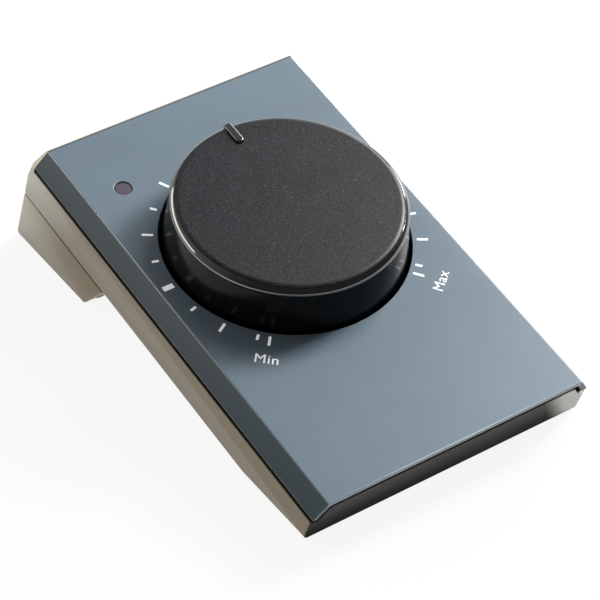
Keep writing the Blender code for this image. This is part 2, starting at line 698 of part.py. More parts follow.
def make_deck():
    """The black moulding under the cover, with the knob's well and the screw posts."""
    top = COVER_SHEET + FIT
    lip_side = HALF_HOUSING - HOUSING_WALL - FIT
    crown = cover_section(top)
    shoulder = down_flange(top, DECK_SHOULDER_DROP)
    rest = flange_depth(COVER_SHEET + SHADOW_GAP, HALF_HOUSING - HOUSING_WALL) - FIT
    right = [
        crown[2],
        (shoulder, -DECK_SHOULDER_DROP),
        (shoulder, -rest),
        (lip_side, -rest - DECK_LEDGE_FALL),
        (lip_side, -DECK_SKIRT_DEPTH),
    ]
    shell = leaning_prism("inner_deck", mirrored(right), DECK_RECESS, COVER_LENGTH)
    deck = part("inner_deck", shell, PANEL, DECK_PLASTIC)

    inner_side = lip_side - DECK_WALL
    ceiling = cover_section(top + DECK_WALL)[2]
    bend = DECK_SHOULDER_DROP + DECK_WALL / 2
    hollow_section = mirrored([ceiling, (inner_side, -bend), (inner_side, -OVERRUN)])
    wall_clear = HOUSING_WALL + FIT
    hollow = leaning_prism("deck_hollow", hollow_section, wall_clear + DECK_WALL, COVER_LENGTH - DECK_WALL)

    under_lip = cover_section(top + DECK_FRONT_LIP)
    far = OVERRUN + HALF_FLAT
    rebate_section = mirrored([under_lip[2], under_lip[3], (far, under_lip[3][1]), (far, -OVERRUN)])
    rebate = leaning_prism("deck_front_rebate", rebate_section, -OVERRUN, wall_clear)
    cut(deck, cutter("deck_hollow", hollow, PANEL), cutter("deck_front_rebate", rebate, PANEL))

    ceiling_top = -top - DECK_WALL / 2
    join(deck, rod("well_cup", WELL_RADIUS + WELL_WALL, -SHELF_DEPTH, ceiling_top, KNOB_PLACE, FINE_STEPS))
    for name, place in both_sides("deck_post", CASE_SCREW_SIDE, CASE_SCREW_STATIONS):
        join(deck, rod(name, CASE_BOSS_RADIUS, FIT - FLOOR_DEPTH, ceiling_top - DECK_WALL / 2, place))
    well_room = rod("well_room", WELL_RADIUS, -WELL_DEPTH, OVERRUN, KNOB_PLACE, FINE_STEPS)
    bush_hole = rod("deck_bush_hole", BUSH_RADIUS + FIT, -OVERRUN, OVERRUN, KNOB_PLACE)
    lamp_hole = rod("deck_lamp_hole", LENS_RADIUS + FIT, -OVERRUN, OVERRUN, LAMP_PLACE)
    cut(deck, well_room, bush_hole, lamp_hole)
    bore_top = CASE_HEAD_HEIGHT + CASE_SCREW_LENGTH + 2 * FIT - HOUSING_DEPTH
    for name, place in both_sides("post_bore", CASE_SCREW_SIDE, CASE_SCREW_STATIONS):
        cut(deck, rod(name, CASE_SHANK_RADIUS + FIT, -HOUSING_DEPTH - OVERRUN, bore_top, place))
    return deck


# Housing

def housing_outline():
    """The housing's side view: front, flat under the front, underside, rear plane and rear bevel."""
    return [
        (0, 0),
        on_desk_line(0, END_LEAN, 0),
        desk_line_at_depth(HOUSING_DEPTH, 0),
        on_end(REAR_STATION, HOUSING_DEPTH),
        on_end(REAR_STATION, REAR_BEVEL_DROP),
        (REAR_INNER_STATION + REAR_LIP, 0),
    ]


def shape_tray(housing):
    """Cuts the shadow gap, the rim's sloping sides, the room inside and the front pad's pocket."""
    far = HALF_HOUSING + OVERRUN
    gap_fold = cover_section(COVER_SHEET + SHADOW_GAP)[2]
    gap_side = down_flange(COVER_SHEET + SHADOW_GAP, HOUSING_SIDE_TOP)
    gap_right = [(far, OVERRUN), (far, -HOUSING_SIDE_TOP), (gap_side, -HOUSING_SIDE_TOP), gap_fold]
    gap_section = mirrored(gap_right, from_left=True)
    gap = leaning_prism("housing_gap", gap_section, -OVERRUN, REAR_INNER_STATION)

    fold, foot = cover_section(0)[2:]
    slope = FLANGE_DROP / FLANGE_RUN
    rim_section = mirrored([(far, OVERRUN), (far, foot[1] - (far - foot[0]) * slope), fold], True)
    rim = leaning_prism("housing_rim_sides", rim_section, -OVERRUN, REAR_STATION + OVERRUN)

    room_outline = [
        on_end(HOUSING_WALL, -OVERRUN),
        on_desk_line(HOUSING_WALL, END_LEAN, HOUSING_WALL),
        desk_line_at_depth(FLOOR_DEPTH, HOUSING_WALL),
        on_end(REAR_INNER_STATION, FLOOR_DEPTH),
        on_end(REAR_INNER_STATION, -OVERRUN),
    ]
    room = side_prism("housing_room", room_outline, HALF_HOUSING - HOUSING_WALL)

    pocket_side = HALF_FRONT_PAD + FIT
    pocket = block(
        "front_pad_pocket",
        (-pocket_side, FRONT_PAD_START - FIT, -FRONT_EDGE_HEIGHT - OVERRUN),
        (pocket_side, FRONT_PAD_START + FRONT_PAD_LENGTH + FIT, PAD_POCKET - FRONT_EDGE_HEIGHT),
        DESK,
    )
    shapes = [cutter(mesh.name, mesh, PANEL) for mesh in (gap, rim, room)]
    cut(housing, *shapes, pocket)


def make_housing():
    """The tray: walls, the level front underside, the rim behind the cover and the inner posts."""
    outline = rounded(housing_outline(), HOUSING_EDGE_RADIUS, chosen=(1,))
    housing = part("housing", side_prism("housing", outline, HALF_HOUSING), PANEL, HOUSING_METAL)
    round_edges(housing, HOUSING_EDGE_RADIUS)
    shape_tray(housing)

    in_floor = -FLOOR_DEPTH - HOUSING_WALL / 2
    foot_bore_top = FOOT_SCREW_LENGTH + FOOT_BORE_ROOM - FOOT_TOP - FOOT_HEAD_SEAT - FIT
    for name, place in both_sides("standoff", BOARD_SCREW_SIDE, BOARD_SCREW_STATIONS):
        join(housing, rod(name, STANDOFF_RADIUS, in_floor, -BOARD_FOOT - FIT, place))
    for name, place in both_sides("foot_screw_post", FOOT_SCREW_SIDE, FOOT_SCREW_STATIONS):
        join(housing, rod(name, FOOT_BOSS_RADIUS, in_floor, foot_bore_top + FOOT_POST_ROOF, place))

    below = -HOUSING_DEPTH - OVERRUN
    above_floor = FIT - FLOOR_DEPTH
    seat_top = CASE_HEAD_HEIGHT + FIT - HOUSING_DEPTH
    for name, place in both_sides("standoff_bore", BOARD_SCREW_SIDE, BOARD_SCREW_STATIONS):
        bore_foot = -BOARD_TOP - BOARD_SCREW_LENGTH - FIT
        cut(housing, rod(name, BOARD_SHANK_RADIUS + FIT, bore_foot, OVERRUN, place))
    for name, place in both_sides("foot_post_bore", FOOT_SCREW_SIDE, FOOT_SCREW_STATIONS):
        cut(housing, rod(name, CASE_SHANK_RADIUS + FIT, below, foot_bore_top, place))
    for name, place in both_sides("case_screw_seat", CASE_SCREW_SIDE, CASE_SCREW_STATIONS):
        cut(housing, rod(name, CASE_HEAD_RADIUS + FIT, below, seat_top, place))
        cut(housing, rod(name + "_hole", CASE_SHANK_RADIUS + FIT, below, above_floor, place))
    window = block(
        "link_window",
        (-LINK_WINDOW_WIDTH / 2, LINK_STATION - LINK_WINDOW_LENGTH / 2, below),
        (LINK_WINDOW_WIDTH / 2, LINK_STATION + LINK_WINDOW_LENGTH / 2, above_floor),
    )
    return cut(housing, window)


# Rear foot

def make_foot():
    """The hollow wedge: open on top, with a rear window, screw posts and pad pockets."""
    foot = part("rear_foot", side_prism("rear_foot", foot_outline(), HALF_HOUSING), PANEL, HOUSING_METAL)
    round_edges(foot, HOUSING_EDGE_RADIUS)
    room_outline = [
        (FOOT_INNER_FRONT + (FOOT_TOP - OVERRUN) * FOOT_SLOPE, OVERRUN - FOOT_TOP),
        on_desk_line(FOOT_INNER_FRONT, FOOT_SLOPE, FOOT_WALL),
        on_desk_line(FOOT_INNER_REAR, END_LEAN, FOOT_WALL),
        on_end(FOOT_INNER_REAR, FOOT_TOP - OVERRUN),
    ]
    cut(foot, cutter("foot_room", side_prism("foot_room", room_outline, HALF_HOUSING - FOOT_WALL), PANEL))

    seat_top = -FOOT_TOP - FOOT_HEAD_SEAT
    for name, place in both_sides("foot_post", FOOT_SCREW_SIDE, FOOT_SCREW_STATIONS):
        desk_depth = (FRONT_EDGE_HEIGHT + place[1] * SIN_TILT) / COS_TILT
        join(foot, rod(name, FOOT_BOSS_RADIUS, FOOT_WALL / 2 - desk_depth, -FOOT_TOP, place))
    for name, place in both_sides("foot_screw_seat", FOOT_SCREW_SIDE, FOOT_SCREW_STATIONS):
        cut(foot, rod(name, CASE_HEAD_RADIUS + FIT, seat_top - 2 * OVERRUN, seat_top, place))
        cut(foot, rod(name + "_hole", CASE_SHANK_RADIUS + FIT, seat_top - OVERRUN, OVERRUN, place))

    window = block(
        "foot_window",
        (-HALF_FOOT_WINDOW, PLATE_FRONT + PLATE_THICKNESS, FOOT_WALL - FRONT_EDGE_HEIGHT),
        (HALF_FOOT_WINDOW, REAR_REACH + OVERRUN, FOOT_WINDOW_TOP - FRONT_EDGE_HEIGHT),
        DESK,
    )
    cut(foot, window)
    for word, side in (("left", -REAR_PAD_SIDE), ("right", REAR_PAD_SIDE)):
        half = REAR_PAD_WIDTH / 2 + FIT
        pocket = block(
            "rear_pad_pocket_" + word,
            (side - half, REAR_PAD_FRONT - FIT, -FRONT_EDGE_HEIGHT - OVERRUN),
            (side + half, REAR_PAD_FRONT + REAR_PAD_LENGTH + FIT, PAD_POCKET - FRONT_EDGE_HEIGHT),
            DESK,
        )
        cut(foot, pocket)
    return foot


# Pads

def make_pads():
    """A long strip under the front edge and two short pads under the rear foot."""
    bottom = -FRONT_EDGE_HEIGHT - PAD_THICKNESS
    top = PAD_POCKET - FIT - FRONT_EDGE_HEIGHT
    strip_low = (-HALF_FRONT_PAD, FRONT_PAD_START, bottom)
    strip_high = (HALF_FRONT_PAD, FRONT_PAD_START + FRONT_PAD_LENGTH, top)
    part("front_pad", box_mesh("front_pad", strip_low, strip_high), DESK, PAD_RUBBER)
    for word, side in (("left", -REAR_PAD_SIDE), ("right", REAR_PAD_SIDE)):
        name = "rear_pad_" + word
        low = (side - REAR_PAD_WIDTH / 2, REAR_PAD_FRONT, bottom)
        high = (side + REAR_PAD_WIDTH / 2, REAR_PAD_FRONT + REAR_PAD_LENGTH, top)
        part(name, box_mesh(name, low, high), DESK, PAD_RUBBER)


# Knob

def pointer_bar(name, grow, bottom, top, outer):
    """A bar along the pointer's line with a round inner end, wider all round by grow."""
    half = POINTER_WIDTH / 2 + grow
    inner = POINTER_INNER - grow
    corners = [(-half, outer), (-half, inner), (half, inner), (half, outer)]
    outline = rounded(corners, half * ROUND_END_SHARE, chosen=(1, 2))
    mesh = flat_outline_mesh(name, outline, top - bottom)
    mesh.transform(Matrix.Translation((0, 0, (top + bottom) / 2)))
    return mesh


def make_knob_body():
    """The skirt, its crown, six ribs under it and the hub with the shaft's keyed bore."""
    crown = INLAY_FOOT - FIT
    seat_radius = RIM_TOP_RADIUS - FIT
    rim_seat = SKIRT_TOP - RIM_SEAT - FIT
    profile = [
        (0, crown),
        (seat_radius, crown),
        (seat_radius, rim_seat),
        (SKIRT_TOP_RADIUS, rim_seat),
        (SKIRT_PANEL_RADIUS, 0),
        (SKIRT_FOOT_RADIUS, -SKIRT_FOOT),
        (SKIRT_FOOT_RADIUS - KNOB_WALL, -SKIRT_FOOT),
        (SKIRT_TOP_RADIUS - KNOB_WALL, KNOB_CEILING),
        (HUB_RADIUS, KNOB_CEILING),
        (HUB_RADIUS, HUB_FOOT),
        (0, HUB_FOOT),
    ]
    body = turned("knob_body", profile, KNOB_AXIS, KNOB_GLOSS)
    rib_low = (HUB_RADIUS - KNOB_WALL / 2, -KNOB_RIB_THICKNESS / 2, KNOB_CEILING - KNOB_RIB_DEPTH)
    rib_high = (SKIRT_TOP_RADIUS - KNOB_WALL / 2, KNOB_RIB_THICKNESS / 2, KNOB_CEILING + KNOB_CROWN / 2)
    for index in range(KNOB_RIB_COUNT):
        turn = Matrix.Rotation(math.tau * index / KNOB_RIB_COUNT, 4, "Z")
        join(body, block("knob_rib_" + str(index + 1), rib_low, rib_high, KNOB_AXIS, turn))
    bore = rod("knob_bore", SHAFT_BORE, -OVERRUN, SHAFT_TOP + FIT, parent=KNOB_AXIS)
    key_low = (-OVERRUN, SHAFT_BORE - SHAFT_FLAT_DEPTH, SHAFT_TOP - SHAFT_FLAT_LENGTH + FIT)
    key = block("knob_bore_key", key_low, (OVERRUN, OVERRUN, OVERRUN), KNOB_AXIS)
    cut(bore, key)
    cut(body, bore)


def make_knob():
    """The body, the glossy rim, the satin inlay and the pointer bar."""
    make_knob_body()
    rim_foot = SKIRT_TOP - RIM_SEAT
    rim_profile = [
        (RIM_TOP_RADIUS, RIM_TOP),
        (SKIRT_TOP_RADIUS, SKIRT_TOP),
        (SKIRT_TOP_RADIUS, rim_foot),
        (RIM_TOP_RADIUS, rim_foot),
    ]
    rim = turned("knob_rim", rim_profile, KNOB_AXIS, RIM_GLOSS, closed=True)
    inlay_radius = RIM_TOP_RADIUS - FIT
    inlay_profile = [
        (0, INLAY_TOP),
        (inlay_radius - INLAY_EDGE_RADIUS, INLAY_TOP),
        (inlay_radius, INLAY_TOP - INLAY_EDGE_RADIUS),
        (inlay_radius, INLAY_FOOT),
        (0, INLAY_FOOT),
    ]
    inlay = turned("knob_inlay", inlay_profile, KNOB_AXIS, INLAY_SATIN)
    slot_mesh = pointer_bar("pointer_slot", FIT, -OVERRUN, OVERRUN, SKIRT_TOP_RADIUS + OVERRUN)
    slot = cutter("pointer_slot", slot_mesh, KNOB_AXIS)
    cut(rim, slot)
    cut(inlay, slot)
    bar = pointer_bar("knob_pointer", 0, INLAY_FOOT, POINTER_TOP, POINTER_OUTER)
    pointer = part("knob_pointer", bar, KNOB_AXIS, POINTER_GLOSS)
    round_edges(pointer, INLAY_EDGE_RADIUS)


# Rotary control

def make_can():
    """The control's can with its solder tab, bored for the bush and the shaft."""
    top = -CAN_TOP_DEPTH
    foot = -CAN_FOOT_DEPTH
    profile = [
        (0, top),
        (CAN_RADIUS - CAN_CORNER_RADIUS, top),
        (CAN_RADIUS, top - CAN_CORNER_RADIUS),
        (CAN_RADIUS, foot),
        (0, foot),
    ]
    can = turned("control_can", profile, KNOB_AXIS, STEEL, MEDIUM_STEPS)
    tab_low = (-CAN_TAB_WIDTH / 2, -CAN_RADIUS - CAN_TAB_LENGTH, foot)
    tab_high = (CAN_TAB_WIDTH / 2, 0, foot + CAN_TAB_THICKNESS)
    join(can, block("control_tab", tab_low, tab_high, KNOB_AXIS))
    bush_foot = top - CAN_TAB_THICKNESS / 2
    seat = rod("bush_seat", BUSH_RADIUS + FIT, bush_foot - FIT, OVERRUN, parent=KNOB_AXIS)
    shaft_room = rod("shaft_room", SHAFT_BORE, -SHAFT_FOOT_DEPTH - FIT, OVERRUN, parent=KNOB_AXIS)
    cut(can, seat, shaft_room)
    return bush_foot


def make_control():
    """The can, its threaded bush, washer and nut, and the shaft that carries the knob."""
    bush_foot = make_can()
    bush_profile = ring_profile(SHAFT_BORE, BUSH_RADIUS, bush_foot, BUSH_TOP)
    turned("control_bush", bush_profile, KNOB_AXIS, BRASS_NICKEL, SMALL_STEPS, closed=True)
    ring = BUSH_RADIUS + FIT
    washer_profile = ring_profile(ring, WASHER_RADIUS, WASHER_TOP - WASHER_THICKNESS, WASHER_TOP)
    turned("control_washer", washer_profile, KNOB_AXIS, STEEL, MEDIUM_STEPS, closed=True)

    nut_place = Matrix.Translation((0, 0, WASHER_TOP + FIT))
    nut_mesh = hexagon_mesh("control_nut", CONTROL_NUT_FLATS, CONTROL_NUT_HEIGHT)
    nut = part("control_nut", nut_mesh, KNOB_AXIS, BRASS_NICKEL, nut_place)
    cut(nut, rod("control_nut_bore", ring, -OVERRUN, OVERRUN, parent=KNOB_AXIS))

    shaft_mesh = cylinder_mesh("control_shaft", SHAFT_RADIUS, -SHAFT_FOOT_DEPTH, SHAFT_TOP)
    shaft = part("control_shaft", shaft_mesh, KNOB_AXIS, STEEL)
    flat_low = (-OVERRUN, SHAFT_RADIUS - SHAFT_FLAT_DEPTH, SHAFT_TOP - SHAFT_FLAT_LENGTH)
    cut(shaft, block("shaft_flat", flat_low, (OVERRUN, OVERRUN, OVERRUN), KNOB_AXIS))


# Main board and lamp

def make_board():
    """The main circuit board with a hole over each standoff."""
    low = (-HALF_BOARD, BOARD_START, -BOARD_FOOT)
    high = (HALF_BOARD, BOARD_END, -BOARD_TOP)
    mesh = box_mesh("circuit_board", low, high)
    board = part("circuit_board", mesh, PANEL, BOARD_GREEN)
    for name, place in both_sides("board_hole", BOARD_SCREW_SIDE, BOARD_SCREW_STATIONS):
        cut(board, rod(name, BOARD_SHANK_RADIUS + FIT, -HOUSING_DEPTH, OVERRUN, place))


def make_lamp():
    """The round lens in the cover and the light guide that stands under it on the board."""
    place = Matrix.Translation((*LAMP_PLACE, 0))
    collar_top = -COVER_SHEET - 2 * FIT - DECK_WALL
    collar_foot = collar_top - LENS_COLLAR_THICKNESS
    collar_radius = LENS_RADIUS + LENS_COLLAR_RIM
    lens_foot = collar_foot - LENS_STEM
    lens_profile = [
        (0, -LENS_RECESS),
        (LENS_RADIUS, -LENS_RECESS),
        (LENS_RADIUS, collar_top),
        (collar_radius, collar_top),
        (collar_radius, collar_foot),
        (LENS_RADIUS, collar_foot),
        (LENS_RADIUS, lens_foot),
        (0, lens_foot),
    ]
    turned("lamp_lens", lens_profile, PANEL, LENS_PLASTIC, SMALL_STEPS, place)
    dome_top = lens_foot - FIT
    base_foot = FIT - BOARD_TOP
    base_top = base_foot + LAMP_BASE_HEIGHT
    base_radius = LAMP_BODY_RADIUS + LAMP_BASE_RIM
    turns = [math.pi / 2 * step / ARC_STEPS for step in range(ARC_STEPS + 1)]
    dome = [
        (LAMP_BODY_RADIUS * math.sin(turn), dome_top - LAMP_BODY_RADIUS * (1 - math.cos(turn)))
        for turn in turns
    ]
    base = [(LAMP_BODY_RADIUS, base_top), (base_radius, base_top), (base_radius, base_foot), (0, base_foot)]
    turned("lamp_body", dome + base, PANEL, LIGHT_PIPE, SMALL_STEPS, place)


# Sockets

def make_socket(number, side, plate):
    """One signal socket: its body with a threaded bush through the plate, and its nut."""
    name = "signal_socket_" + str(number)
    half = SOCKET_WIDTH / 2
    low = (side - half, PLATE_FRONT - FIT - SOCKET_LENGTH, SOCKET_BODY_FOOT)
    high = (side + half, PLATE_FRONT - FIT, SOCKET_BODY_FOOT + SOCKET_HEIGHT)
    body = part(name, box_mesh(name, low, high), DESK, SOCKET_PLASTIC)
    place = Matrix.Translation((side, PLATE_FRONT, SOCKET_AXIS)) @ ALONG_Y
    reach = PLATE_THICKNESS + FIT + SOCKET_BUSH_REACH
    join(body, rod(name + "_bush", SOCKET_BUSH_RADIUS, -half, reach, parent=DESK, turn=place))
    bore_foot = reach - SOCKET_BORE_DEPTH
    cut(body, rod(name + "_bore", SOCKET_BORE_RADIUS, bore_foot, reach + OVERRUN, parent=DESK, turn=place))
    hole = rod(name + "_hole", SOCKET_BUSH_RADIUS + FIT, -OVERRUN, OVERRUN, parent=DESK, turn=place)
    cut(plate, hole)
    nut_name = "socket_nut_" + str(number)
    nut_place = Matrix.Translation((0, PLATE_THICKNESS + FIT, 0)) @ place
    nut_mesh = hexagon_mesh(nut_name, SOCKET_NUT_FLATS, SOCKET_NUT_THICKNESS)
    cut(part(nut_name, nut_mesh, DESK, BRASS_NICKEL, nut_place), hole)


def make_inlet(plate):
    """The power inlet: its body, the collar in the plate, a ring-shaped bore and the pin in it."""
    half = INLET_WIDTH / 2
    low = (INLET_SIDE - half, PLATE_FRONT - FIT - INLET_LENGTH, SOCKET_BODY_FOOT)
    high = (INLET_SIDE + half, PLATE_FRONT - FIT, SOCKET_BODY_FOOT + SOCKET_HEIGHT)
    inlet = part("power_inlet", box_mesh("power_inlet", low, high), DESK, SOCKET_PLASTIC)
    place = Matrix.Translation((INLET_SIDE, PLATE_FRONT, SOCKET_AXIS)) @ ALONG_Y
    reach = PLATE_THICKNESS + FIT
    join(inlet, rod("inlet_collar", INLET_COLLAR_RADIUS, -half, reach, parent=DESK, turn=place))
    profile = ring_profile(INLET_PIN_RADIUS, INLET_BORE_RADIUS, reach - INLET_BORE_DEPTH, OVERRUN)
    bore = turned("inlet_bore", profile, DESK, None, SMALL_STEPS, place, closed=True, group=CUTTERS)
    tip_radius = INLET_BORE_RADIUS - FIT
    pin_tip = rod("inlet_pin_tip", tip_radius, reach - 2 * FIT, OVERRUN, parent=DESK, turn=place)
    cut(inlet, bore, pin_tip)
    cut(plate, rod("inlet_hole", INLET_COLLAR_RADIUS + FIT, -OVERRUN, OVERRUN, parent=DESK, turn=place))


def make_link():
    """The upright connector from the main board down to the socket board."""
    half_width = LINK_WINDOW_WIDTH / 2 - LINK_ROOM
    half_length = LINK_WINDOW_LENGTH / 2 - LINK_ROOM
    low = (-half_width, LINK_STATION - half_length, -HOUSING_DEPTH - OVERRUN)
    high = (half_width, LINK_STATION + half_length, -BOARD_FOOT - FIT)
    link = part("board_link", box_mesh("board_link", low, high), PANEL, SOCKET_PLASTIC)
    below_low = (-OVERRUN, 0, -FRONT_EDGE_HEIGHT - 2 * OVERRUN)
    cut(link, block("link_foot", below_low, (OVERRUN, REAR_REACH, SOCKET_BODY_FOOT), DESK))


def make_sockets():
    """The socket board, plate, round sockets with their nuts, the power inlet and the board link."""
    board_low = (-HALF_SOCKET_BOARD, SOCKET_BOARD_START, SOCKET_BOARD_FOOT)
    board_high = (HALF_SOCKET_BOARD, PLATE_FRONT - FIT, SOCKET_BODY_FOOT - FIT)
    part("socket_board", box_mesh("socket_board", board_low, board_high), DESK, BOARD_GREEN)
    plate_low = (-HALF_PLATE, PLATE_FRONT, SOCKET_BOARD_FOOT)
    plate_high = (HALF_PLATE, PLATE_FRONT + PLATE_THICKNESS, underside_height(PLATE_FRONT) - FIT)
    plate = part("socket_plate", box_mesh("socket_plate", plate_low, plate_high), DESK, PLATE_METAL)
    for index in range(SOCKET_COUNT):
        make_socket(index + 1, SOCKET_FIRST + index * SOCKET_PITCH, plate)
    make_inlet(plate)
    make_link()


# Screws

def make_screw(name, place, head_radius, head_height, shank_radius, length):
    """A pan head screw whose head's bearing face is at its origin, with the shank along +z."""
    profile = [
        (0, length),
        (shank_radius, length),
        (shank_radius, 0),
        (head_radius, 0),
        (head_radius, -head_height / 2),
        (head_radius * PAN_CROWN_SHARE, -head_height),
        (0, -head_height),
    ]
    return turned(name, profile, PANEL, STEEL, SCREW_STEPS, place)


def make_screws():
    """Four screws up through the housing, four up through the foot and four down through the board."""
    upside_down = Matrix.Rotation(math.pi, 4, "X")
    case_head = (CASE_HEAD_RADIUS, CASE_HEAD_HEIGHT, CASE_SHANK_RADIUS)
    board_head = (BOARD_HEAD_RADIUS, BOARD_HEAD_HEIGHT, BOARD_SHANK_RADIUS)
    case_places = both_sides("case_screw", CASE_SCREW_SIDE, CASE_SCREW_STATIONS)
    foot_places = both_sides("foot_screw", FOOT_SCREW_SIDE, FOOT_SCREW_STATIONS)
    board_places = both_sides("board_screw", BOARD_SCREW_SIDE, BOARD_SCREW_STATIONS)
    for number, (_, place) in enumerate(case_places, start=1):
        at = Matrix.Translation((*place, CASE_HEAD_HEIGHT - HOUSING_DEPTH))
        make_screw("case_screw_" + str(number), at, *case_head, CASE_SCREW_LENGTH)
    for number, (_, place) in enumerate(foot_places, start=1):
        at = Matrix.Translation((*place, -FOOT_TOP - FOOT_HEAD_SEAT - FIT))
        make_screw("foot_screw_" + str(number), at, *case_head, FOOT_SCREW_LENGTH)
    for number, (_, place) in enumerate(board_places, start=1):
        at = Matrix.Translation((*place, FIT - BOARD_TOP)) @ upside_down
        make_screw("board_screw_" + str(number), at, *board_head, BOARD_SCREW_LENGTH)


make_cover()
make_deck()
make_housing()
make_foot()
make_pads()
make_knob()
make_control()
make_board()
make_lamp()
make_sockets()
make_screws()
for piece in PARTS.objects:
    if piece.type == "MESH":
        smooth(piece)
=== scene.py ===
"""Looks of the studio monitor controller: its finishes, fine shapes, print, light and camera.

Places on the sloping top are given in the knob's frame: x to the right, y rearward along the cover and
z along the cover's normal, from the point where the knob's axis meets the cover. All sizes are in metres.
"""

import json
import logging
import math
from dataclasses import dataclass
from enum import Enum
from typing import Sequence

import bmesh
import bpy
import numpy as np
from mathutils import Matrix, Vector


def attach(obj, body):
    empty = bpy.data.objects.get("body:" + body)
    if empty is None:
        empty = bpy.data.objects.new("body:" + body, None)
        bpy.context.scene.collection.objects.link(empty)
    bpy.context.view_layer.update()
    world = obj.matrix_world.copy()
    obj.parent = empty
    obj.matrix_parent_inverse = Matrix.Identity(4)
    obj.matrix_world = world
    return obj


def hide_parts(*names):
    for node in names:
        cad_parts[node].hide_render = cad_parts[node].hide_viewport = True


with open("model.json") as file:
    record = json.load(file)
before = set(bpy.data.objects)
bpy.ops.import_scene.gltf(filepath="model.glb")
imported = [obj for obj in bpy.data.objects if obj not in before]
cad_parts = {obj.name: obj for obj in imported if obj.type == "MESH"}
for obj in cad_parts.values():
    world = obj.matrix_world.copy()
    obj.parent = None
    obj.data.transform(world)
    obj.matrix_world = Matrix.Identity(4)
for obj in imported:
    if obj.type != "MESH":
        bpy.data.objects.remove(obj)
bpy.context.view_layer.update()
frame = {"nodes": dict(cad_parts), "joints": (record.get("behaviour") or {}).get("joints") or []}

LOG = logging.getLogger("monitor_controller")
Colour = tuple[float, float, float]
Point = tuple[float, float, float]
Rise = tuple[float, float]

# Sizes that several pieces share
FIT = 0.0003
OVERRUN = 0.02
END_LEAN = math.tan(math.radians(10.4))
COVER_LENGTH = 0.13747
KNOB_STATION = 0.0799
HALF_FLAT = 0.03998
FLANGE_DROP = 0.00575
LAMP_SIDE = -0.0289
LAMP_STATION = 0.0364
LAMP_HOLE = 0.0026
LENS_RADIUS = 0.00242

# Mesh settings
WELD = 0.000001
FLAT_ANGLE = math.radians(0.5)
ROUNDING_ANGLE = math.radians(28.0)
ROUNDING_STEPS = 2
SOFT_EDGE = 0.00008
FINE_TURN = 256
SMALL_TURN = 64

# Where the noise starts and stops counting as a cloud or a grain
CLOUD_RISE = (0.25, 0.75)
GRAIN_RISE = (0.35, 0.65)
STREAK_RISE = (0.3, 0.7)

# Clear lacquer over a gloss moulding
LACQUER_IOR = 1.8
LACQUER_ROUGHNESS = 0.06


class Body(Enum):
    """The CAD body that a piece moves with."""

    CASE = "case"
    KNOB = "knob"


def from_screen(red: float, green: float, blue: float) -> Colour:
    """The linear colour of a screen colour given in steps from 0 to 255."""
    steps = np.array((red, green, blue)) / 255.0
    linear = np.where(steps <= 0.04045, steps / 12.92, ((steps + 0.055) / 1.055) ** 2.4)
    return tuple(float(value) for value in linear)


def scaled(colour: Colour, share: float) -> Colour:
    """A colour made darker or lighter by a share."""
    return tuple(min(1.0, value * share) for value in colour)


@dataclass(frozen=True)
class TopFrame:
    """The knob's frame on the sloping top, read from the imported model's own joint."""

    origin: Vector
    tilt: float

    @property
    def matrix(self) -> Matrix:
        """The turn and shift from this frame to the unit's frame."""
        return Matrix.Translation(self.origin) @ Matrix.Rotation(self.tilt, 4, "X")


def read_top_frame() -> TopFrame:
    """The top's frame, from the place and axis of the knob's joint.

    Returns:
        The frame whose origin is where the knob's axis meets the cover.
    """
    joint = frame["joints"][0]
    axis = joint["axis"]
    return TopFrame(Vector(joint["pos_m"]), math.atan2(-axis[1], axis[2]))


TOP = read_top_frame()


# Shader maths

class Wire:
    """A node's output, on which sums and products add the Math nodes they stand for."""

    def __init__(self, graph: "Graph", socket: bpy.types.NodeSocket) -> None:
        """Keeps the output and the tree it is in."""
        self.graph = graph
        self.socket = socket

    def output(self, key: int | str) -> "Wire":
        """Another output of the same node."""
        return Wire(self.graph, self.socket.node.outputs[key])

    def _math(self, operation: str, *values: "Wire | float") -> "Wire":
        """A Math node of the operation on the values, in order."""
        return self.graph.node("Math", {"operation": operation}, dict(enumerate(values)))

    def __add__(self, other: "Wire | float") -> "Wire":
        """This value plus another."""
        return self._math("ADD", self, other)

    def __mul__(self, other: "Wire | float") -> "Wire":
        """This value times another."""
        return self._math("MULTIPLY", self, other)

    def __sub__(self, other: "Wire | float") -> "Wire":
        """This value minus another."""
        return self._math("SUBTRACT", self, other)

    def __rsub__(self, other: "Wire | float") -> "Wire":
        """Another value minus this one."""
        return self._math("SUBTRACT", other, self)

    def __abs__(self) -> "Wire":
        """This value without its sign."""
        return self._math("ABSOLUTE", self)

    def root(self) -> "Wire":
        """The square root of this value."""
        return self._math("SQRT", self)

    def above(self, other: "Wire | float") -> "Wire":
        """The larger of this value and another."""
        return self._math("MAXIMUM", self, other)

    def eased(self, start: float, end: float) -> "Wire":
        """A smooth rise from 0 to 1 while this value goes from start to end.

        Args:
            start: The value at which the rise is still 0.
            end: The value at which it has reached 1, which may lie below start.

        Returns:
            The eased share.
        """
        sockets = {"Value": self, "From Min": start, "From Max": end, "To Min": 0.0, "To Max": 1.0}
        return self.graph.node("MapRange", {"interpolation_type": "SMOOTHSTEP"}, sockets)


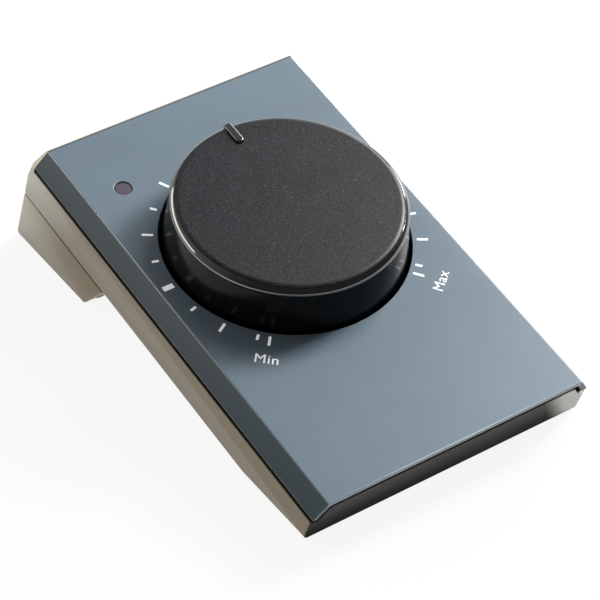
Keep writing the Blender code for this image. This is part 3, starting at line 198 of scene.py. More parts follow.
class Graph:
    """A node tree whose nodes all come from one method."""

    def __init__(self, tree: bpy.types.NodeTree) -> None:
        """Takes an empty tree over."""
        self.tree = tree
        tree.nodes.clear()

    def node(
        self,
        kind: str,
        settings: dict[str, object] | None = None,
        sockets: dict[int | str, object] | None = None,
        out: int | str = 0,
    ) -> Wire:
        """Adds a node, sets it up and feeds its sockets.

        Args:
            kind: The node's Blender type, without its leading ShaderNode.
            settings: Its properties.
            sockets: A value or a Wire for each named or numbered input.
            out: The output to hand back.

        Returns:
            The chosen output, or the node's first input where it has no output.
        """
        made = self.tree.nodes.new("ShaderNode" + kind)
        for key, value in (settings or {}).items():
            setattr(made, key, value)
        for key, value in (sockets or {}).items():
            self._feed(made.inputs[key], value)
        return Wire(self, made.outputs[out] if len(made.outputs) else made.inputs[0])

    def _feed(self, socket: bpy.types.NodeSocket, value: object) -> None:
        """Links a Wire to a socket, or sets the socket's own value."""
        if isinstance(value, Wire):
            self.tree.links.new(value.socket, socket)
        elif socket.type == "RGBA":
            socket.default_value = (*value[:3], 1.0)
        else:
            socket.default_value = value

    def place(self, top: bool = False) -> Wire:
        """The point on the piece, in the unit's frame or in the knob's frame.

        Args:
            top: Whether the point is given in the knob's frame.

        Returns:
            The point as a vector.
        """
        point = self.node("TexCoord", out="Object")
        if not top:
            return point
        sockets = {"Vector": point, "Location": TOP.origin, "Rotation": (TOP.tilt, 0.0, 0.0)}
        return self.node("Mapping", {"vector_type": "TEXTURE"}, sockets)

    def axes(self, point: Wire) -> tuple[Wire, Wire, Wire]:
        """A vector's three parts."""
        split = self.node("SeparateXYZ", None, {0: point})
        return split, split.output(1), split.output(2)

    def noise(self, point: Wire, size: float, detail: float = 2.0, roughness: float = 0.5) -> Wire:
        """Soft noise around a half, whose lumps are about the given size."""
        sockets = {"Vector": point, "Scale": 1.0 / size, "Detail": detail, "Roughness": roughness}
        return self.node("TexNoise", None, sockets)

    def streaks(self, point: Wire, size: float, stretch: Sequence[float]) -> Wire:
        """Noise drawn out along some axes, as brushing leaves it."""
        drawn = self.node("VectorMath", {"operation": "MULTIPLY"}, {0: point, 1: tuple(stretch)})
        return self.noise(drawn, size, 3.0, 0.6)

    def blend(self, share: Wire | float, first: object, second: object) -> Wire:
        """The first colour, turning into the second as the share rises to 1."""
        return self.node("Mix", {"data_type": "RGBA"}, {0: share, 6: first, 7: second}, 2)


@dataclass(frozen=True)
class Finish:
    """A surface finish: a colour that drifts a little, a grain, and a gloss that drifts with them."""

    name: str
    slot: str
    colour: Colour
    roughness: float
    metallic: float = 0.0
    drift: float = 0.10
    drift_size: float = 0.012
    grain: float = 0.10
    grain_size: float = 0.00035
    grain_depth: float = 0.000004
    gloss_drift: float = 0.06
    specular: float = 0.5
    lacquer: float = 0.0
    glow: float = 0.0

    def tinted(self, graph: Graph) -> Wire:
        """The surface's colour: its own colour, drifting in clouds and speckled by the grain."""
        point = graph.place()
        clouds = graph.noise(point, self.drift_size, 3.0)
        speckle = graph.noise(point, self.grain_size, 2.0)
        low, high, dark = 1 - self.drift, 1 + self.drift, 1 - self.grain
        paler = graph.blend(clouds.eased(*CLOUD_RISE), scaled(self.colour, low), scaled(self.colour, high))
        darker = graph.blend(
            clouds.eased(*CLOUD_RISE), scaled(self.colour, low * dark), scaled(self.colour, high * dark)
        )
        return graph.blend(speckle.eased(*GRAIN_RISE), darker, paler)

    def dulled(self, graph: Graph) -> Wire:
        """The surface's roughness, uneven as handling leaves it."""
        wear = graph.noise(graph.place(), self.drift_size * 0.6, 4.0)
        return wear * (2 * self.gloss_drift) + (self.roughness - self.gloss_drift)

    def raised(self, graph: Graph) -> Wire:
        """The grain's height, from 0 to 1."""
        return graph.noise(graph.place(), self.grain_size, 2.0)

    def plated(self, graph: Graph) -> Wire | float:
        """How far the surface is bare metal."""
        return self.metallic

    def fixed(self) -> dict[str, object]:
        """The shader's values that are the same all over the surface."""
        return {
            "Emission Color": self.colour,
            "Emission Strength": self.glow,
            "Specular IOR Level": self.specular,
            "Coat Weight": self.lacquer,
            "Coat IOR": LACQUER_IOR,
            "Coat Roughness": LACQUER_ROUGHNESS,
        }

    def build(self) -> bpy.types.Material:
        """Makes the finish's material.

        Returns:
            The material, with its colour, roughness and bump from nodes.
        """
        material = bpy.data.materials.new(self.name)
        material.use_nodes = True
        graph = Graph(material.node_tree)
        relief = {"Strength": 1.0, "Distance": self.grain_depth, "Height": self.raised(graph)}
        bump = graph.node("Bump", None, relief)
        sockets = {
            "Base Color": self.tinted(graph),
            "Roughness": self.dulled(graph),
            "Metallic": self.plated(graph),
            "Normal": bump,
        }
        shader = graph.node("BsdfPrincipled", None, {**sockets, **self.fixed()})
        graph.node("OutputMaterial", None, {"Surface": shader})
        return material


def from_lamp(x: Wire, y: Wire) -> Wire:
    """The distance from the lamp's axis on the top: root((x - side)^2 + (y - station)^2)."""
    across, ahead = x - LAMP_SIDE, y - LAMP_STATION
    return (across * across + ahead * ahead).root()


@dataclass(frozen=True)
class CoverPaint(Finish):
    """The cover's blue-grey satin paint, with painted shade down the flanges and painted highlights along its
    edges and round the lamp hole.
    """

    # Painted highlights where the folds, the flange feet, the front edge and the lamp hole's edge catch the
    # light.
    highlight_colour: Colour = from_screen(196, 204, 208)
    # Painted shade: the flanges are the same sheet as the top, darker where less light falls on them.
    flange_shade_colour: Colour = from_screen(36, 60, 71)
    flange_rise: Rise = (HALF_FLAT - 0.00002, HALF_FLAT + 0.00006)
    highlight_width: float = 0.00022
    highlight_depth: Rise = (-0.0006, -0.0002)
    highlight_length: Rise = (0.02, 0.11)
    highlight_least: float = 0.15
    front_start: Rise = (0.00006, 0.00014)
    front_end: Rise = (0.00046, 0.00030)
    front_side: Rise = (0.046, 0.0)
    highlight_break_size: float = 0.0012
    highlight_break_rise: Rise = (0.15, 0.50)
    ring_rise: Rise = (LAMP_HOLE + 0.00018, LAMP_HOLE + 0.00006)
    foot_share: float = 0.35
    front_share: float = 0.9
    ring_share: float = 0.7

    def edge_highlights(self, graph: Graph) -> Wire:
        """How far painted highlights cover the paint, in thin lines where the edges catch the light.

        Args:
            graph: The material's node tree.

        Returns:
            The painted highlights' share: along the folds, the feet and the front, and round the lamp hole.
        """
        x, y, z = graph.axes(graph.place(top=True))
        side = abs(x)
        station = y + KNOB_STATION + z * END_LEAN
        fold = 1 - abs(side - HALF_FLAT).eased(self.highlight_width * 0.35, self.highlight_width * 0.8)
        more = station.eased(*self.highlight_length) * (1 - self.highlight_least) + self.highlight_least
        fold = fold * z.eased(*self.highlight_depth) * more
        foot = z.eased(self.highlight_width - FLANGE_DROP, self.highlight_width / 2 - FLANGE_DROP)
        front = station.eased(*self.front_start) * station.eased(*self.front_end)
        front = front * side.eased(*self.front_side)
        # Noise breaks the painted highlights into uneven lines.
        highlight_breaks = graph.noise(graph.place(), self.highlight_break_size, 3.0).eased(*self.highlight_break_rise)
        ring = from_lamp(x, y).eased(*self.ring_rise)
        lines = fold.above(foot * self.foot_share).above(front * self.front_share)
        return (lines * highlight_breaks).above(ring * self.ring_share)

    def tinted(self, graph: Graph) -> Wire:
        """The paint's colour, with painted shade down the flanges and painted highlights along the edges."""
        base = super().tinted(graph)
        x, _, _ = graph.axes(graph.place(top=True))
        # Painted shade down the flanges.
        base = graph.blend(abs(x).eased(*self.flange_rise), base, self.flange_shade_colour)
        # Painted highlights along the edges and round the lamp hole.
        return graph.blend(self.edge_highlights(graph), base, self.highlight_colour)


@dataclass(frozen=True)
class HousingMetal(Finish):
    """The tray's satin metal, with painted shade darkening its sides warm towards the front, and a dull front
    wall coloured with painted shade and a painted highlight.
    """

    # Painted shade: the sides darken warm towards the front.
    side_front_shade: Colour = from_screen(125, 114, 94)
    # Painted shade for the front wall, darker downwards and to the right, and a painted highlight at its
    # right end.
    wall_shade_upper: Colour = from_screen(92, 92, 90)
    wall_shade_lower: Colour = from_screen(40, 40, 41)
    wall_shade_corner: Colour = from_screen(6, 6, 6)
    wall_end_highlight: Colour = from_screen(200, 199, 192)
    wall_dulling: float = 0.52
    wall_depth: Rise = (0.0002, 0.0009)
    corner_rise: Rise = (0.012, 0.028)
    shade_rise: Rise = (-0.0010, -0.0170)
    wedge_rise: Rise = (0.0305, 0.0380)
    wedge_drop: float = 0.0090
    wedge_slope: float = 0.45
    side_rise: Rise = (0.106, 0.155)
    side_slope: float = 0.45
    streak_size: float = 0.0006
    streak_stretch: Point = (1.0, 0.03, 1.0)
    streak_contrast: float = 0.02
    gloss_streak_size: float = 0.0005
    gloss_stretch: Point = (1.0, 0.04, 1.0)

    def front_wall(self, graph: Graph, x: Wire, z: Wire) -> Wire:
        """The front wall's painted shade: grey, darker downwards and to the right, with a painted highlight
        at the right end.
        """
        # Painted shade, darker downwards and to the right, then a painted highlight at the right end.
        foot = graph.blend(x.eased(*self.corner_rise), self.wall_shade_lower, self.wall_shade_corner)
        wall = graph.blend(z.eased(*self.shade_rise), self.wall_shade_upper, foot)
        wedge = (x + (z + self.wedge_drop) * self.wedge_slope).eased(*self.wedge_rise)
        return graph.blend(wedge, wall, self.wall_end_highlight)

    def on_front(self, y: Wire, z: Wire) -> Wire:
        """1 on the front wall, falling to 0 just behind it."""
        return 1 - (y + KNOB_STATION + z * END_LEAN).eased(*self.wall_depth)

    def tinted(self, graph: Graph) -> Wire:
        """The metal's colour, with painted shade from a warm dark front to a pale rear, and the front wall's
        painted shade.
        """
        base = super().tinted(graph)
        point = graph.place(top=True)
        x, y, z = graph.axes(point)
        streak = graph.streaks(point, self.streak_size, self.streak_stretch)
        along = (y + KNOB_STATION + z * self.side_slope).eased(*self.side_rise)
        dark = scaled(self.side_front_shade, 1 - self.streak_contrast)
        pale = scaled(self.side_front_shade, 1 + self.streak_contrast)
        # Painted shade on the sides, towards the front.
        sides = graph.blend(along, graph.blend(streak.eased(*STREAK_RISE), dark, pale), base)
        return graph.blend(self.on_front(y, z), sides, self.front_wall(graph, x, z))

    def plated(self, graph: Graph) -> Wire:
        """Bare metal on the sides; the front wall, coloured with painted shade, is not metallic."""
        _, y, z = graph.axes(graph.place(top=True))
        return (1 - self.on_front(y, z)) * self.metallic

    def dulled(self, graph: Graph) -> Wire:
        """The metal's roughness, drawn out along the tray's length, with a duller front wall."""
        point = graph.place(top=True)
        _, y, z = graph.axes(point)
        streak = graph.streaks(point, self.gloss_streak_size, self.gloss_stretch)
        brushed = streak * (2 * self.gloss_drift) + (self.roughness - self.gloss_drift)
        return brushed + self.on_front(y, z) * self.wall_dulling


@dataclass(frozen=True)
class InlaySatin(Finish):
    """The knob top's charcoal satin, with a fine leathery grain and a faint sparkle."""

    sparkle_colour: Colour = from_screen(88, 88, 94)
    sparkle_size: float = 0.00024
    sparkle_rise: Rise = (0.50, 0.80)

    def tinted(self, graph: Graph) -> Wire:
        """The charcoal colour, broken by a fine sparkle."""
        base = super().tinted(graph)
        glints = graph.noise(graph.place(), self.sparkle_size, 1.0)
        return graph.blend(glints.eased(*self.sparkle_rise), base, self.sparkle_colour)


@dataclass(frozen=True)
class BoardGreen(Finish):
    """A circuit board's green mask over its copper tracks."""

    track_colour: Colour = from_screen(58, 120, 66)
    track_pitch: float = 0.0064
    track_wander: float = 0.35
    track_rise: Rise = (0.42, 0.46)

    def tinted(self, graph: Graph) -> Wire:
        """The mask's green, paler over the tracks that run under it."""
        base = super().tinted(graph)
        settings = {"distance": "CHEBYCHEV", "feature": "F1"}
        sockets = {"Vector": graph.place(), "Scale": 1.0 / self.track_pitch, "Randomness": self.track_wander}
        tracks = graph.node("TexVoronoi", settings, sockets)
        return graph.blend(tracks.eased(*self.track_rise), base, self.track_colour)


@dataclass(frozen=True)
class LampLens(Finish):
    """The smoky lens, darkened towards its rim by painted shade."""

    # Painted shade towards the lens's rim.
    rim_shade_colour: Colour = from_screen(70, 66, 74)
    rim_rise: Rise = (LENS_RADIUS * 0.80, LENS_RADIUS)

    def tinted(self, graph: Graph) -> Wire:
        """The lens colour, with painted shade darker towards the rim."""
        base = super().tinted(graph)
        x, y, _ = graph.axes(graph.place(top=True))
        return graph.blend(from_lamp(x, y).eased(*self.rim_rise), base, self.rim_shade_colour)


class Finishes(Enum):
    """Every finish of the unit."""

    COVER_PAINT = CoverPaint(
        "cover_satin_paint", "cover_paint", from_screen(114, 131, 143), 0.34, drift=0.03, grain=0.06,
        grain_size=0.0003, gloss_drift=0.02, specular=0.45,
    )
    HOUSING_METAL = HousingMetal(
        "housing_satin_metal", "housing_metal", from_screen(198, 196, 184), 0.36, metallic=0.85, drift=0.04,
        grain=0.06, gloss_drift=0.02, specular=0.12,
    )
    DECK_PLASTIC = Finish(
        "deck_black_moulding", "deck_plastic", from_screen(6, 6, 6), 0.7, grain_depth=0.00001, specular=0.12
    )
    PAD_RUBBER = Finish("pad_black_rubber", "pad_rubber", from_screen(30, 30, 31), 0.8, grain_depth=0.00002)
    KNOB_GLOSS = Finish(
        "knob_black_gloss", "knob_gloss", from_screen(12, 11, 10), 0.20, drift=0.2, grain=0.0,
        grain_size=0.004, grain_depth=0.000003, gloss_drift=0.05, specular=0.16,
    )
    RIM_GLOSS = Finish(
        "rim_black_gloss", "rim_gloss", from_screen(9, 8, 8), 0.12, drift=0.1,
        grain=0.0, grain_depth=0.000001, gloss_drift=0.02, specular=1.0, lacquer=1.0,
    )
    INLAY_SATIN = InlaySatin(
        "inlay_dark_satin", "inlay_satin", from_screen(30, 30, 36), 0.40, drift=0.04,
        grain=0.55, grain_size=0.00024, grain_depth=0.000008, specular=0.3,
    )
    POINTER_GLOSS = Finish(
        "pointer_black_gloss", "pointer_gloss", from_screen(20, 19, 19), 0.14, grain=0.0,
        grain_depth=0.000001, specular=0.6, lacquer=1.0,
    )
    # The white print glows a little as painted light, so it stays white where shade falls on it.
    PRINT_INK_GLOWING = Finish(
        "white_print_ink_painted_glow", "cover_paint", from_screen(252, 252, 252), 0.5, drift=0.01, grain=0.02,
        glow=0.35,
    )
    STEEL = Finish("zinc_plated_steel", "zinc_steel", from_screen(196, 198, 202), 0.32, metallic=1.0)
    NICKEL = Finish("nickel_plated_brass", "nickel_brass", from_screen(206, 200, 186), 0.24, metallic=1.0)
    BOARD_GREEN = BoardGreen("circuit_board_mask", "board_green", from_screen(24, 84, 44), 0.35)
    SOCKET_PLASTIC = Finish(
        "socket_black_moulding", "socket_plastic", from_screen(20, 20, 21), 0.4, grain_depth=0.00001
    )
    PLATE_PAINT = Finish("plate_black_satin", "plate_metal", from_screen(44, 45, 47), 0.45, metallic=0.3)
    LAMP_LENS = LampLens(
        "lens_smoky_plastic", "lens_plastic", from_screen(98, 92, 104), 0.34, grain=0.03, specular=0.15
    )
    LIGHT_GUIDE = Finish("light_guide_resin", "light_pipe", from_screen(222, 224, 226), 0.2, grain=0.02)

    def material(self) -> bpy.types.Material:
        """The finish's material, made when it is first asked for."""
        return bpy.data.materials.get(self.value.name) or self.value.build()


# Mesh building

def added(name: str, data: bpy.types.ID) -> bpy.types.Object:
    """A new object of the data, linked to the scene."""
    item = bpy.data.objects.new(name, data)
    bpy.context.scene.collection.objects.link(item)
    return item


def rounded_outline(
    corners: Sequence[Sequence[float]], radii: Sequence[float], closed: bool = True, steps: int = 6
) -> np.ndarray:
    """An outline whose corners are arcs: centre + radius * (cos, sin) over the turn between both sides.

    Args:
        corners: The outline's corner points.
        radii: The arc's radius at each corner, or 0 for a sharp one.
        closed: Whether the last point joins the first.
        steps: The arc's pieces.

    Returns:
        The outline's points, one row each.
    """
    points = np.asarray(corners, float)
    rows = []
    for index, (point, radius) in enumerate(zip(points, radii)):
        if radius == 0 or (not closed and index in (0, len(points) - 1)):
            rows.append(point[None])
            continue
        back = points[index - 1] - point
        ahead = points[(index + 1) % len(points)] - point
        back = back / np.linalg.norm(back)
        ahead = ahead / np.linalg.norm(ahead)
        half = math.acos(float(np.clip(back @ ahead, -1, 1))) / 2
        centre = point + (back + ahead) / np.linalg.norm(back + ahead) * radius / math.sin(half)
        first = point + back * radius / math.tan(half) - centre
        last = point + ahead * radius / math.tan(half) - centre
        start = math.atan2(first[1], first[0])
        sweep = (math.atan2(last[1], last[0]) - start + math.pi) % math.tau - math.pi
        turn = start + sweep * np.linspace(0, 1, steps + 1)
        rows.append(centre + radius * np.stack([np.cos(turn), np.sin(turn)], axis=1))
    return np.concatenate(rows)


def grid_faces(rows: int, columns: int, wrap_rows: bool, wrap_columns: bool) -> np.ndarray:
    """The four-sided faces of a grid: each joins a point, its right, its upper right and its upper one.

    Args:
        rows: Points along the first parameter.
        columns: Points along the second parameter.
        wrap_rows: Whether the last row joins the first.
        wrap_columns: Whether the last column joins the first.

    Returns:
        One row of four point numbers for each face.
    """
    index = np.arange(rows * columns).reshape(rows, columns)
    right = np.roll(index, -1, axis=1)
    up = np.roll(index, -1, axis=0)
    both = np.roll(right, -1, axis=0)
    faces = np.stack([index, right, both, up], axis=-1)
    faces = faces if wrap_rows else faces[:-1]
    faces = faces if wrap_columns else faces[:, :-1]
    return faces.reshape(-1, 4)


def closed_mesh(name: str, points: np.ndarray, faces: Sequence[Sequence[int]]) -> bpy.types.Mesh:
    """A mesh with its doubles merged and its faces turned outwards.

    Args:
        name: The mesh's name.
        points: Its points, one row each.
        faces: The point numbers of each face.

    Returns:
        The mesh.
    """
    mesh = bpy.data.meshes.new(name)
    mesh.from_pydata(points.reshape(-1, 3).tolist(), [], faces)
    shape = bmesh.new()
    shape.from_mesh(mesh)
    bmesh.ops.remove_doubles(shape, verts=shape.verts, dist=WELD)
    bmesh.ops.recalc_face_normals(shape, faces=shape.faces)
    shape.to_mesh(mesh)
    shape.free()
    mesh.shade_smooth()
    return mesh


def turned_mesh(name: str, profile: np.ndarray, steps: int, closed: bool = False) -> bpy.types.Mesh:
    """A profile turned about z: point(v, u) = (r(v) cos u, r(v) sin u, z(v)).

    Args:
        name: The mesh's name.
        profile: The profile's radius and height, one row for each point.
        steps: The number of points round the axis.
        closed: Whether the profile is a closed loop, clear of the axis.

    Returns:
        The closed mesh.
    """
    turn = np.linspace(0, math.tau, steps, endpoint=False)
    radius, height = profile[:, :1], profile[:, 1:]
    points = np.stack([radius * np.cos(turn), radius * np.sin(turn), height + 0 * turn], axis=-1)
    return closed_mesh(name, points, grid_faces(len(profile), steps, closed, True).tolist())


def outward(outlines: np.ndarray) -> np.ndarray:
    """The outward unit direction at each point of each outline run anticlockwise."""
    edge = np.roll(outlines, -1, axis=-2) - np.roll(outlines, 1, axis=-2)
    normal = np.stack([edge[..., 1], -edge[..., 0]], axis=-1)
    return normal / np.linalg.norm(normal, axis=-1, keepdims=True)


def layered_mesh(name: str, outlines: np.ndarray, layers: np.ndarray) -> bpy.types.Mesh:
    """Solids from outlines drawn in layer by layer: point(v, u) = outline(u) - inset(v) * outward(u), z(v).

    Args:
        name: The mesh's name.
        outlines: The outlines, each run anticlockwise, as solids by points by two.
        layers: The inset and height of each layer, from the foot to the top.

    Returns:
        One mesh of all the closed solids.
    """
    count, width = outlines.shape[:2]
    inset, height = layers[:, 0], layers[:, 1]
    flat = outlines[:, None] - inset[None, :, None, None] * outward(outlines)[:, None]
    level = np.broadcast_to(height[None, :, None, None], (*flat.shape[:3], 1))
    points = np.concatenate([flat, level], axis=-1)
    each = len(layers) * width
    walls = grid_faces(len(layers), width, False, True)
    foot = np.arange(width)[::-1]
    faces: list[list[int]] = []
    for first in range(0, count * each, each):
        faces += (walls + first).tolist()
        faces.append((foot + first).tolist())
        faces.append((np.arange(width) + first + each - width).tolist())
    return closed_mesh(name, points, faces)


def prism_mesh(name: str, section: np.ndarray, start: float, end: float, lean: float) -> bpy.types.Mesh:
    """A section in xz carried along y: point(v, u) = (x(u), start + v (end - start) - lean z(u), z(u)).

    Args:
        name: The mesh's name.
        section: The closed section's points.
        start: The y of the front end at z = 0.
        end: The y of the rear end at z = 0.
        lean: How far both ends move rearward for each unit below z = 0.

    Returns:
        The closed mesh.
    """
    x, z = section[:, 0], section[:, 1]
    ends = np.array([[start], [end]])
    points = np.stack(np.broadcast_arrays(x, ends - lean * z, z), axis=-1)
    faces = grid_faces(2, len(x), False, True).tolist()
    faces.append(list(range(len(x))))
    faces.append(list(range(len(x), 2 * len(x))))
    return closed_mesh(name, points, faces)


def carved(mesh: bpy.types.Mesh, cutters: Sequence[bpy.types.Mesh]) -> bpy.types.Mesh:
    """Cuts closed shapes out of a mesh, in order.

    Args:
        mesh: The mesh to cut.
        cutters: The shapes to take out, which are used up.

    Returns:
        The cut mesh under the same name.
    """
    name = mesh.name
    item = added(name, mesh)
    helpers = []
    for cutter in cutters:
        helpers.append(added(cutter.name, cutter))
        step = item.modifiers.new(cutter.name, "BOOLEAN")
        step.object = helpers[-1]
        step.solver = "EXACT"
    bpy.context.view_layer.update()
    cut = bpy.data.meshes.new_from_object(item.evaluated_get(bpy.context.evaluated_depsgraph_get()))
    for used in (item, *helpers):
        bpy.data.objects.remove(used)
    mesh.name = name + "_uncut"
    cut.name = name
    return cut


def copied_mesh(node: str) -> bpy.types.Mesh:
    """A merged copy of a CAD node's mesh, with its flat faces joined.

    Args:
        node: The CAD node's name.

    Returns:
        The copy, smooth shaded and ready for rounded edges.
    """
    source = frame["nodes"][node].data
    points = np.empty(len(source.vertices) * 3, np.float32)
    corners = np.empty(len(source.loops), np.int32)
    source.vertices.foreach_get("co", points)
    source.loops.foreach_get("vertex_index", corners)
    mesh = closed_mesh(node, points.reshape(-1, 3), corners.reshape(-1, 3).tolist())
    shape = bmesh.new()
    shape.from_mesh(mesh)
    bmesh.ops.dissolve_limit(shape, angle_limit=FLAT_ANGLE, verts=shape.verts, edges=shape.edges)
    shape.to_mesh(mesh)
    shape.free()
    return mesh


@dataclass(frozen=True)
class Piece:
    """A finished piece: what it is made of, what it rides on and the CAD nodes it stands for."""

    name: str
    finish: Finishes
    body: Body
    nodes: tuple[str, ...] = ()
    edge: float = 0.0

    def settle(self, mesh: bpy.types.Mesh) -> None:
        """Puts the mesh into the scene as this piece.

        Args:
            mesh: The mesh, already at its place in the unit's frame.
        """
        mesh.materials.clear()
        mesh.materials.append(self.finish.material())
        item = added(self.name, mesh)
        if self.edge:
            self._round(item)
        else:
            mesh.set_sharp_from_angle(angle=ROUNDING_ANGLE)
        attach(item, self.body.value)
        if self.nodes:
            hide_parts(*self.nodes)
        LOG.info("%s: %d points, rides on %s", self.name, len(mesh.vertices), self.body.value)

    def _round(self, item: bpy.types.Object) -> None:
        """Rounds the piece's sharp edges, with its flat faces shaded flat."""
        item.data.shade_smooth()
        step = item.modifiers.new("rounded_edges", "BEVEL")
        step.width = self.edge
        step.segments = ROUNDING_STEPS
        step.limit_method = "ANGLE"
        step.angle_limit = ROUNDING_ANGLE
        step.harden_normals = True
        step.miter_outer = "MITER_ARC"


def on_top(mesh: bpy.types.Mesh) -> bpy.types.Mesh:
    """The mesh, moved from the knob's frame to the unit's frame."""
    mesh.transform(TOP.matrix)
    return mesh


# Sub-assemblies

@dataclass
class Cover:
    """The folded sheet on top, with its knob hole and lamp hole."""

    rear_reach: float = 0.0002
    flange_run: float = 0.00349
    sheet: float = 0.0015
    fold_radius: float = 0.0006
    fold_steps: int = 10
    knob_hole: float = 0.03435
    edge: float = 0.00014

    def section(self) -> np.ndarray:
        """The folded sheet's closed section: its outer face with round folds, then its inner face."""
        run = math.hypot(self.flange_run, FLANGE_DROP)
        turn = math.tan(math.atan2(FLANGE_DROP, self.flange_run) / 2)
        fold = np.array([HALF_FLAT, 0.0])
        foot = np.array([HALF_FLAT + self.flange_run, -FLANGE_DROP])
        inner_fold = fold - self.sheet * np.array([turn, 1.0])
        inner_foot = foot - self.sheet * np.array([FLANGE_DROP, self.flange_run]) / run
        outer, inner = np.array([foot, fold]), np.array([inner_fold, inner_foot])
        mirror = np.array([-1.0, 1.0])
        corners = np.concatenate([outer, outer[::-1] * mirror, inner[::-1] * mirror, inner])
        radii = [0, self.fold_radius, self.fold_radius, 0, 0, 0, 0, 0]
        return rounded_outline(corners, radii, steps=self.fold_steps)

    def hole(self, name: str, radius: float, side: float, station: float, steps: int) -> bpy.types.Mesh:
        """A round bar that cuts a hole through the sheet."""
        profile = np.array([(0, -OVERRUN), (radius, -OVERRUN), (radius, OVERRUN), (0, OVERRUN)])
        bar = turned_mesh(name, profile, steps)
        bar.transform(Matrix.Translation((side, station, 0)))
        return bar

    def build(self) -> None:
        """Makes the sheet, cuts both holes and settles it on the case."""
        end = COVER_LENGTH + self.rear_reach - KNOB_STATION
        sheet = prism_mesh("cover_sheet", self.section(), -KNOB_STATION, end, END_LEAN)
        holes = [
            self.hole("knob_hole", self.knob_hole, 0, 0, FINE_TURN),
            self.hole("lamp_hole", LAMP_HOLE, LAMP_SIDE, LAMP_STATION, SMALL_TURN),
        ]
        cut = carved(sheet, holes)
        Piece("cover_sheet", Finishes.COVER_PAINT, Body.CASE, ("top_cover",), self.edge).settle(on_top(cut))


@dataclass
class GapLining:
    """The deck's two black lips, seen in the shadow gap between the cover's flanges and the tray."""

    inner: float = 0.0415
    outer: float = 0.0428
    top: float = -0.00664
    foot: float = -0.00744
    setback: float = 0.0009

    def build(self) -> None:
        """Carries each lip's section along the gap, on the left and on the right."""
        start = self.setback - KNOB_STATION
        end = COVER_LENGTH - self.setback - KNOB_STATION
        for name, side in (("gap_lining_left", -1.0), ("gap_lining_right", 1.0)):
            near, far = sorted((side * self.inner, side * self.outer))
            section = np.array([(near, self.foot), (far, self.foot), (far, self.top), (near, self.top)])
            mesh = prism_mesh(name, section, start, end, END_LEAN)
            mesh.shade_flat()
            Piece(name, Finishes.DECK_PLASTIC, Body.CASE).settle(on_top(mesh))


@dataclass
class Scale:
    """The white print round the knob: the marks and the words at both ends of the turn."""

    step_degrees: float = 15.0
    last_step_degrees: float = 135.0
    long_degrees: float = 30.0
    end_degrees: float = 140.0
    inner_radius: float = 0.0356
    long_radius: float = 0.0387
    short_radius: float = 0.0375
    mark_width: float = 0.00075
    thick_width: float = 0.0016
    thick_degrees: float = -90.0
    ink_height: float = 0.00003
    word_radius: float = 0.0435
    cap_height: float = 0.0031
    cap_share: float = 0.73
    letter_spacing: float = 1.08

    def marks(self) -> np.ndarray:
        """Each mark's clock angle, outer radius and width, one row each."""
        last, step = self.last_step_degrees, self.step_degrees
        steps = np.arange(-last, last + step, step)
        angle = np.concatenate([[-self.end_degrees], steps, [self.end_degrees]])
        is_long = (np.mod(np.abs(angle), self.long_degrees) == 0) | (np.abs(angle) == self.end_degrees)
        outer = np.where(is_long, self.long_radius, self.short_radius)
        width = np.where(angle == self.thick_degrees, self.thick_width, self.mark_width)
        return np.stack([angle, outer, width], axis=1)

    def build_marks(self) -> None:
        """Makes all marks as one print: a bar for each, turned to its clock angle."""
        table = self.marks()
        unit = rounded_outline([(-0.5, 0), (0.5, 0), (0.5, 1), (-0.5, 1)], [0.0] * 4)
        angle = np.radians(table[:, 0])[:, None]
        across = unit[None, :, 0] * table[:, 2:3]
        out = self.inner_radius + unit[None, :, 1] * (table[:, 1:2] - self.inner_radius)
        side = across * np.cos(angle) + out * np.sin(angle)
        ahead = out * np.cos(angle) - across * np.sin(angle)
        bars = np.stack([side, ahead], axis=-1)
        mesh = layered_mesh("scale_marks", bars, np.array([(0.0, -self.ink_height), (0.0, self.ink_height)]))
        mesh.shade_flat()
        Piece("scale_marks", Finishes.PRINT_INK_GLOWING, Body.CASE).settle(on_top(mesh))

    def build_word(self, word: str, degrees: float) -> None:
        """Prints a word at a clock angle, with its top towards the knob.

        Args:
            word: The word to print.
            degrees: Its clock angle, rearward being 0 and the right being positive.
        """
        text = bpy.data.curves.new("word_" + word.lower(), "FONT")
        text.body = word
        text.align_x = "CENTER"
        text.align_y = "CENTER"
        text.size = self.cap_height / self.cap_share
        text.extrude = self.ink_height
        text.space_character = self.letter_spacing
        guide = added(text.name, text)
        bpy.context.view_layer.update()
        mesh = bpy.data.meshes.new_from_object(guide.evaluated_get(bpy.context.evaluated_depsgraph_get()))
        mesh.name = "word_" + word.lower()
        mesh.shade_flat()
        bpy.data.objects.remove(guide)
        turn = math.radians(degrees)
        middle = Matrix.Translation((self.word_radius * math.sin(turn), self.word_radius * math.cos(turn), 0))
        mesh.transform(middle @ Matrix.Rotation(math.pi - turn, 4, "Z"))
        Piece("word_" + word.lower(), Finishes.PRINT_INK_GLOWING, Body.CASE).settle(on_top(mesh))

    def build(self) -> None:
        """Prints the marks and both words."""
        self.build_marks()
        self.build_word("Min", -self.end_degrees)
        self.build_word("Max", self.end_degrees)


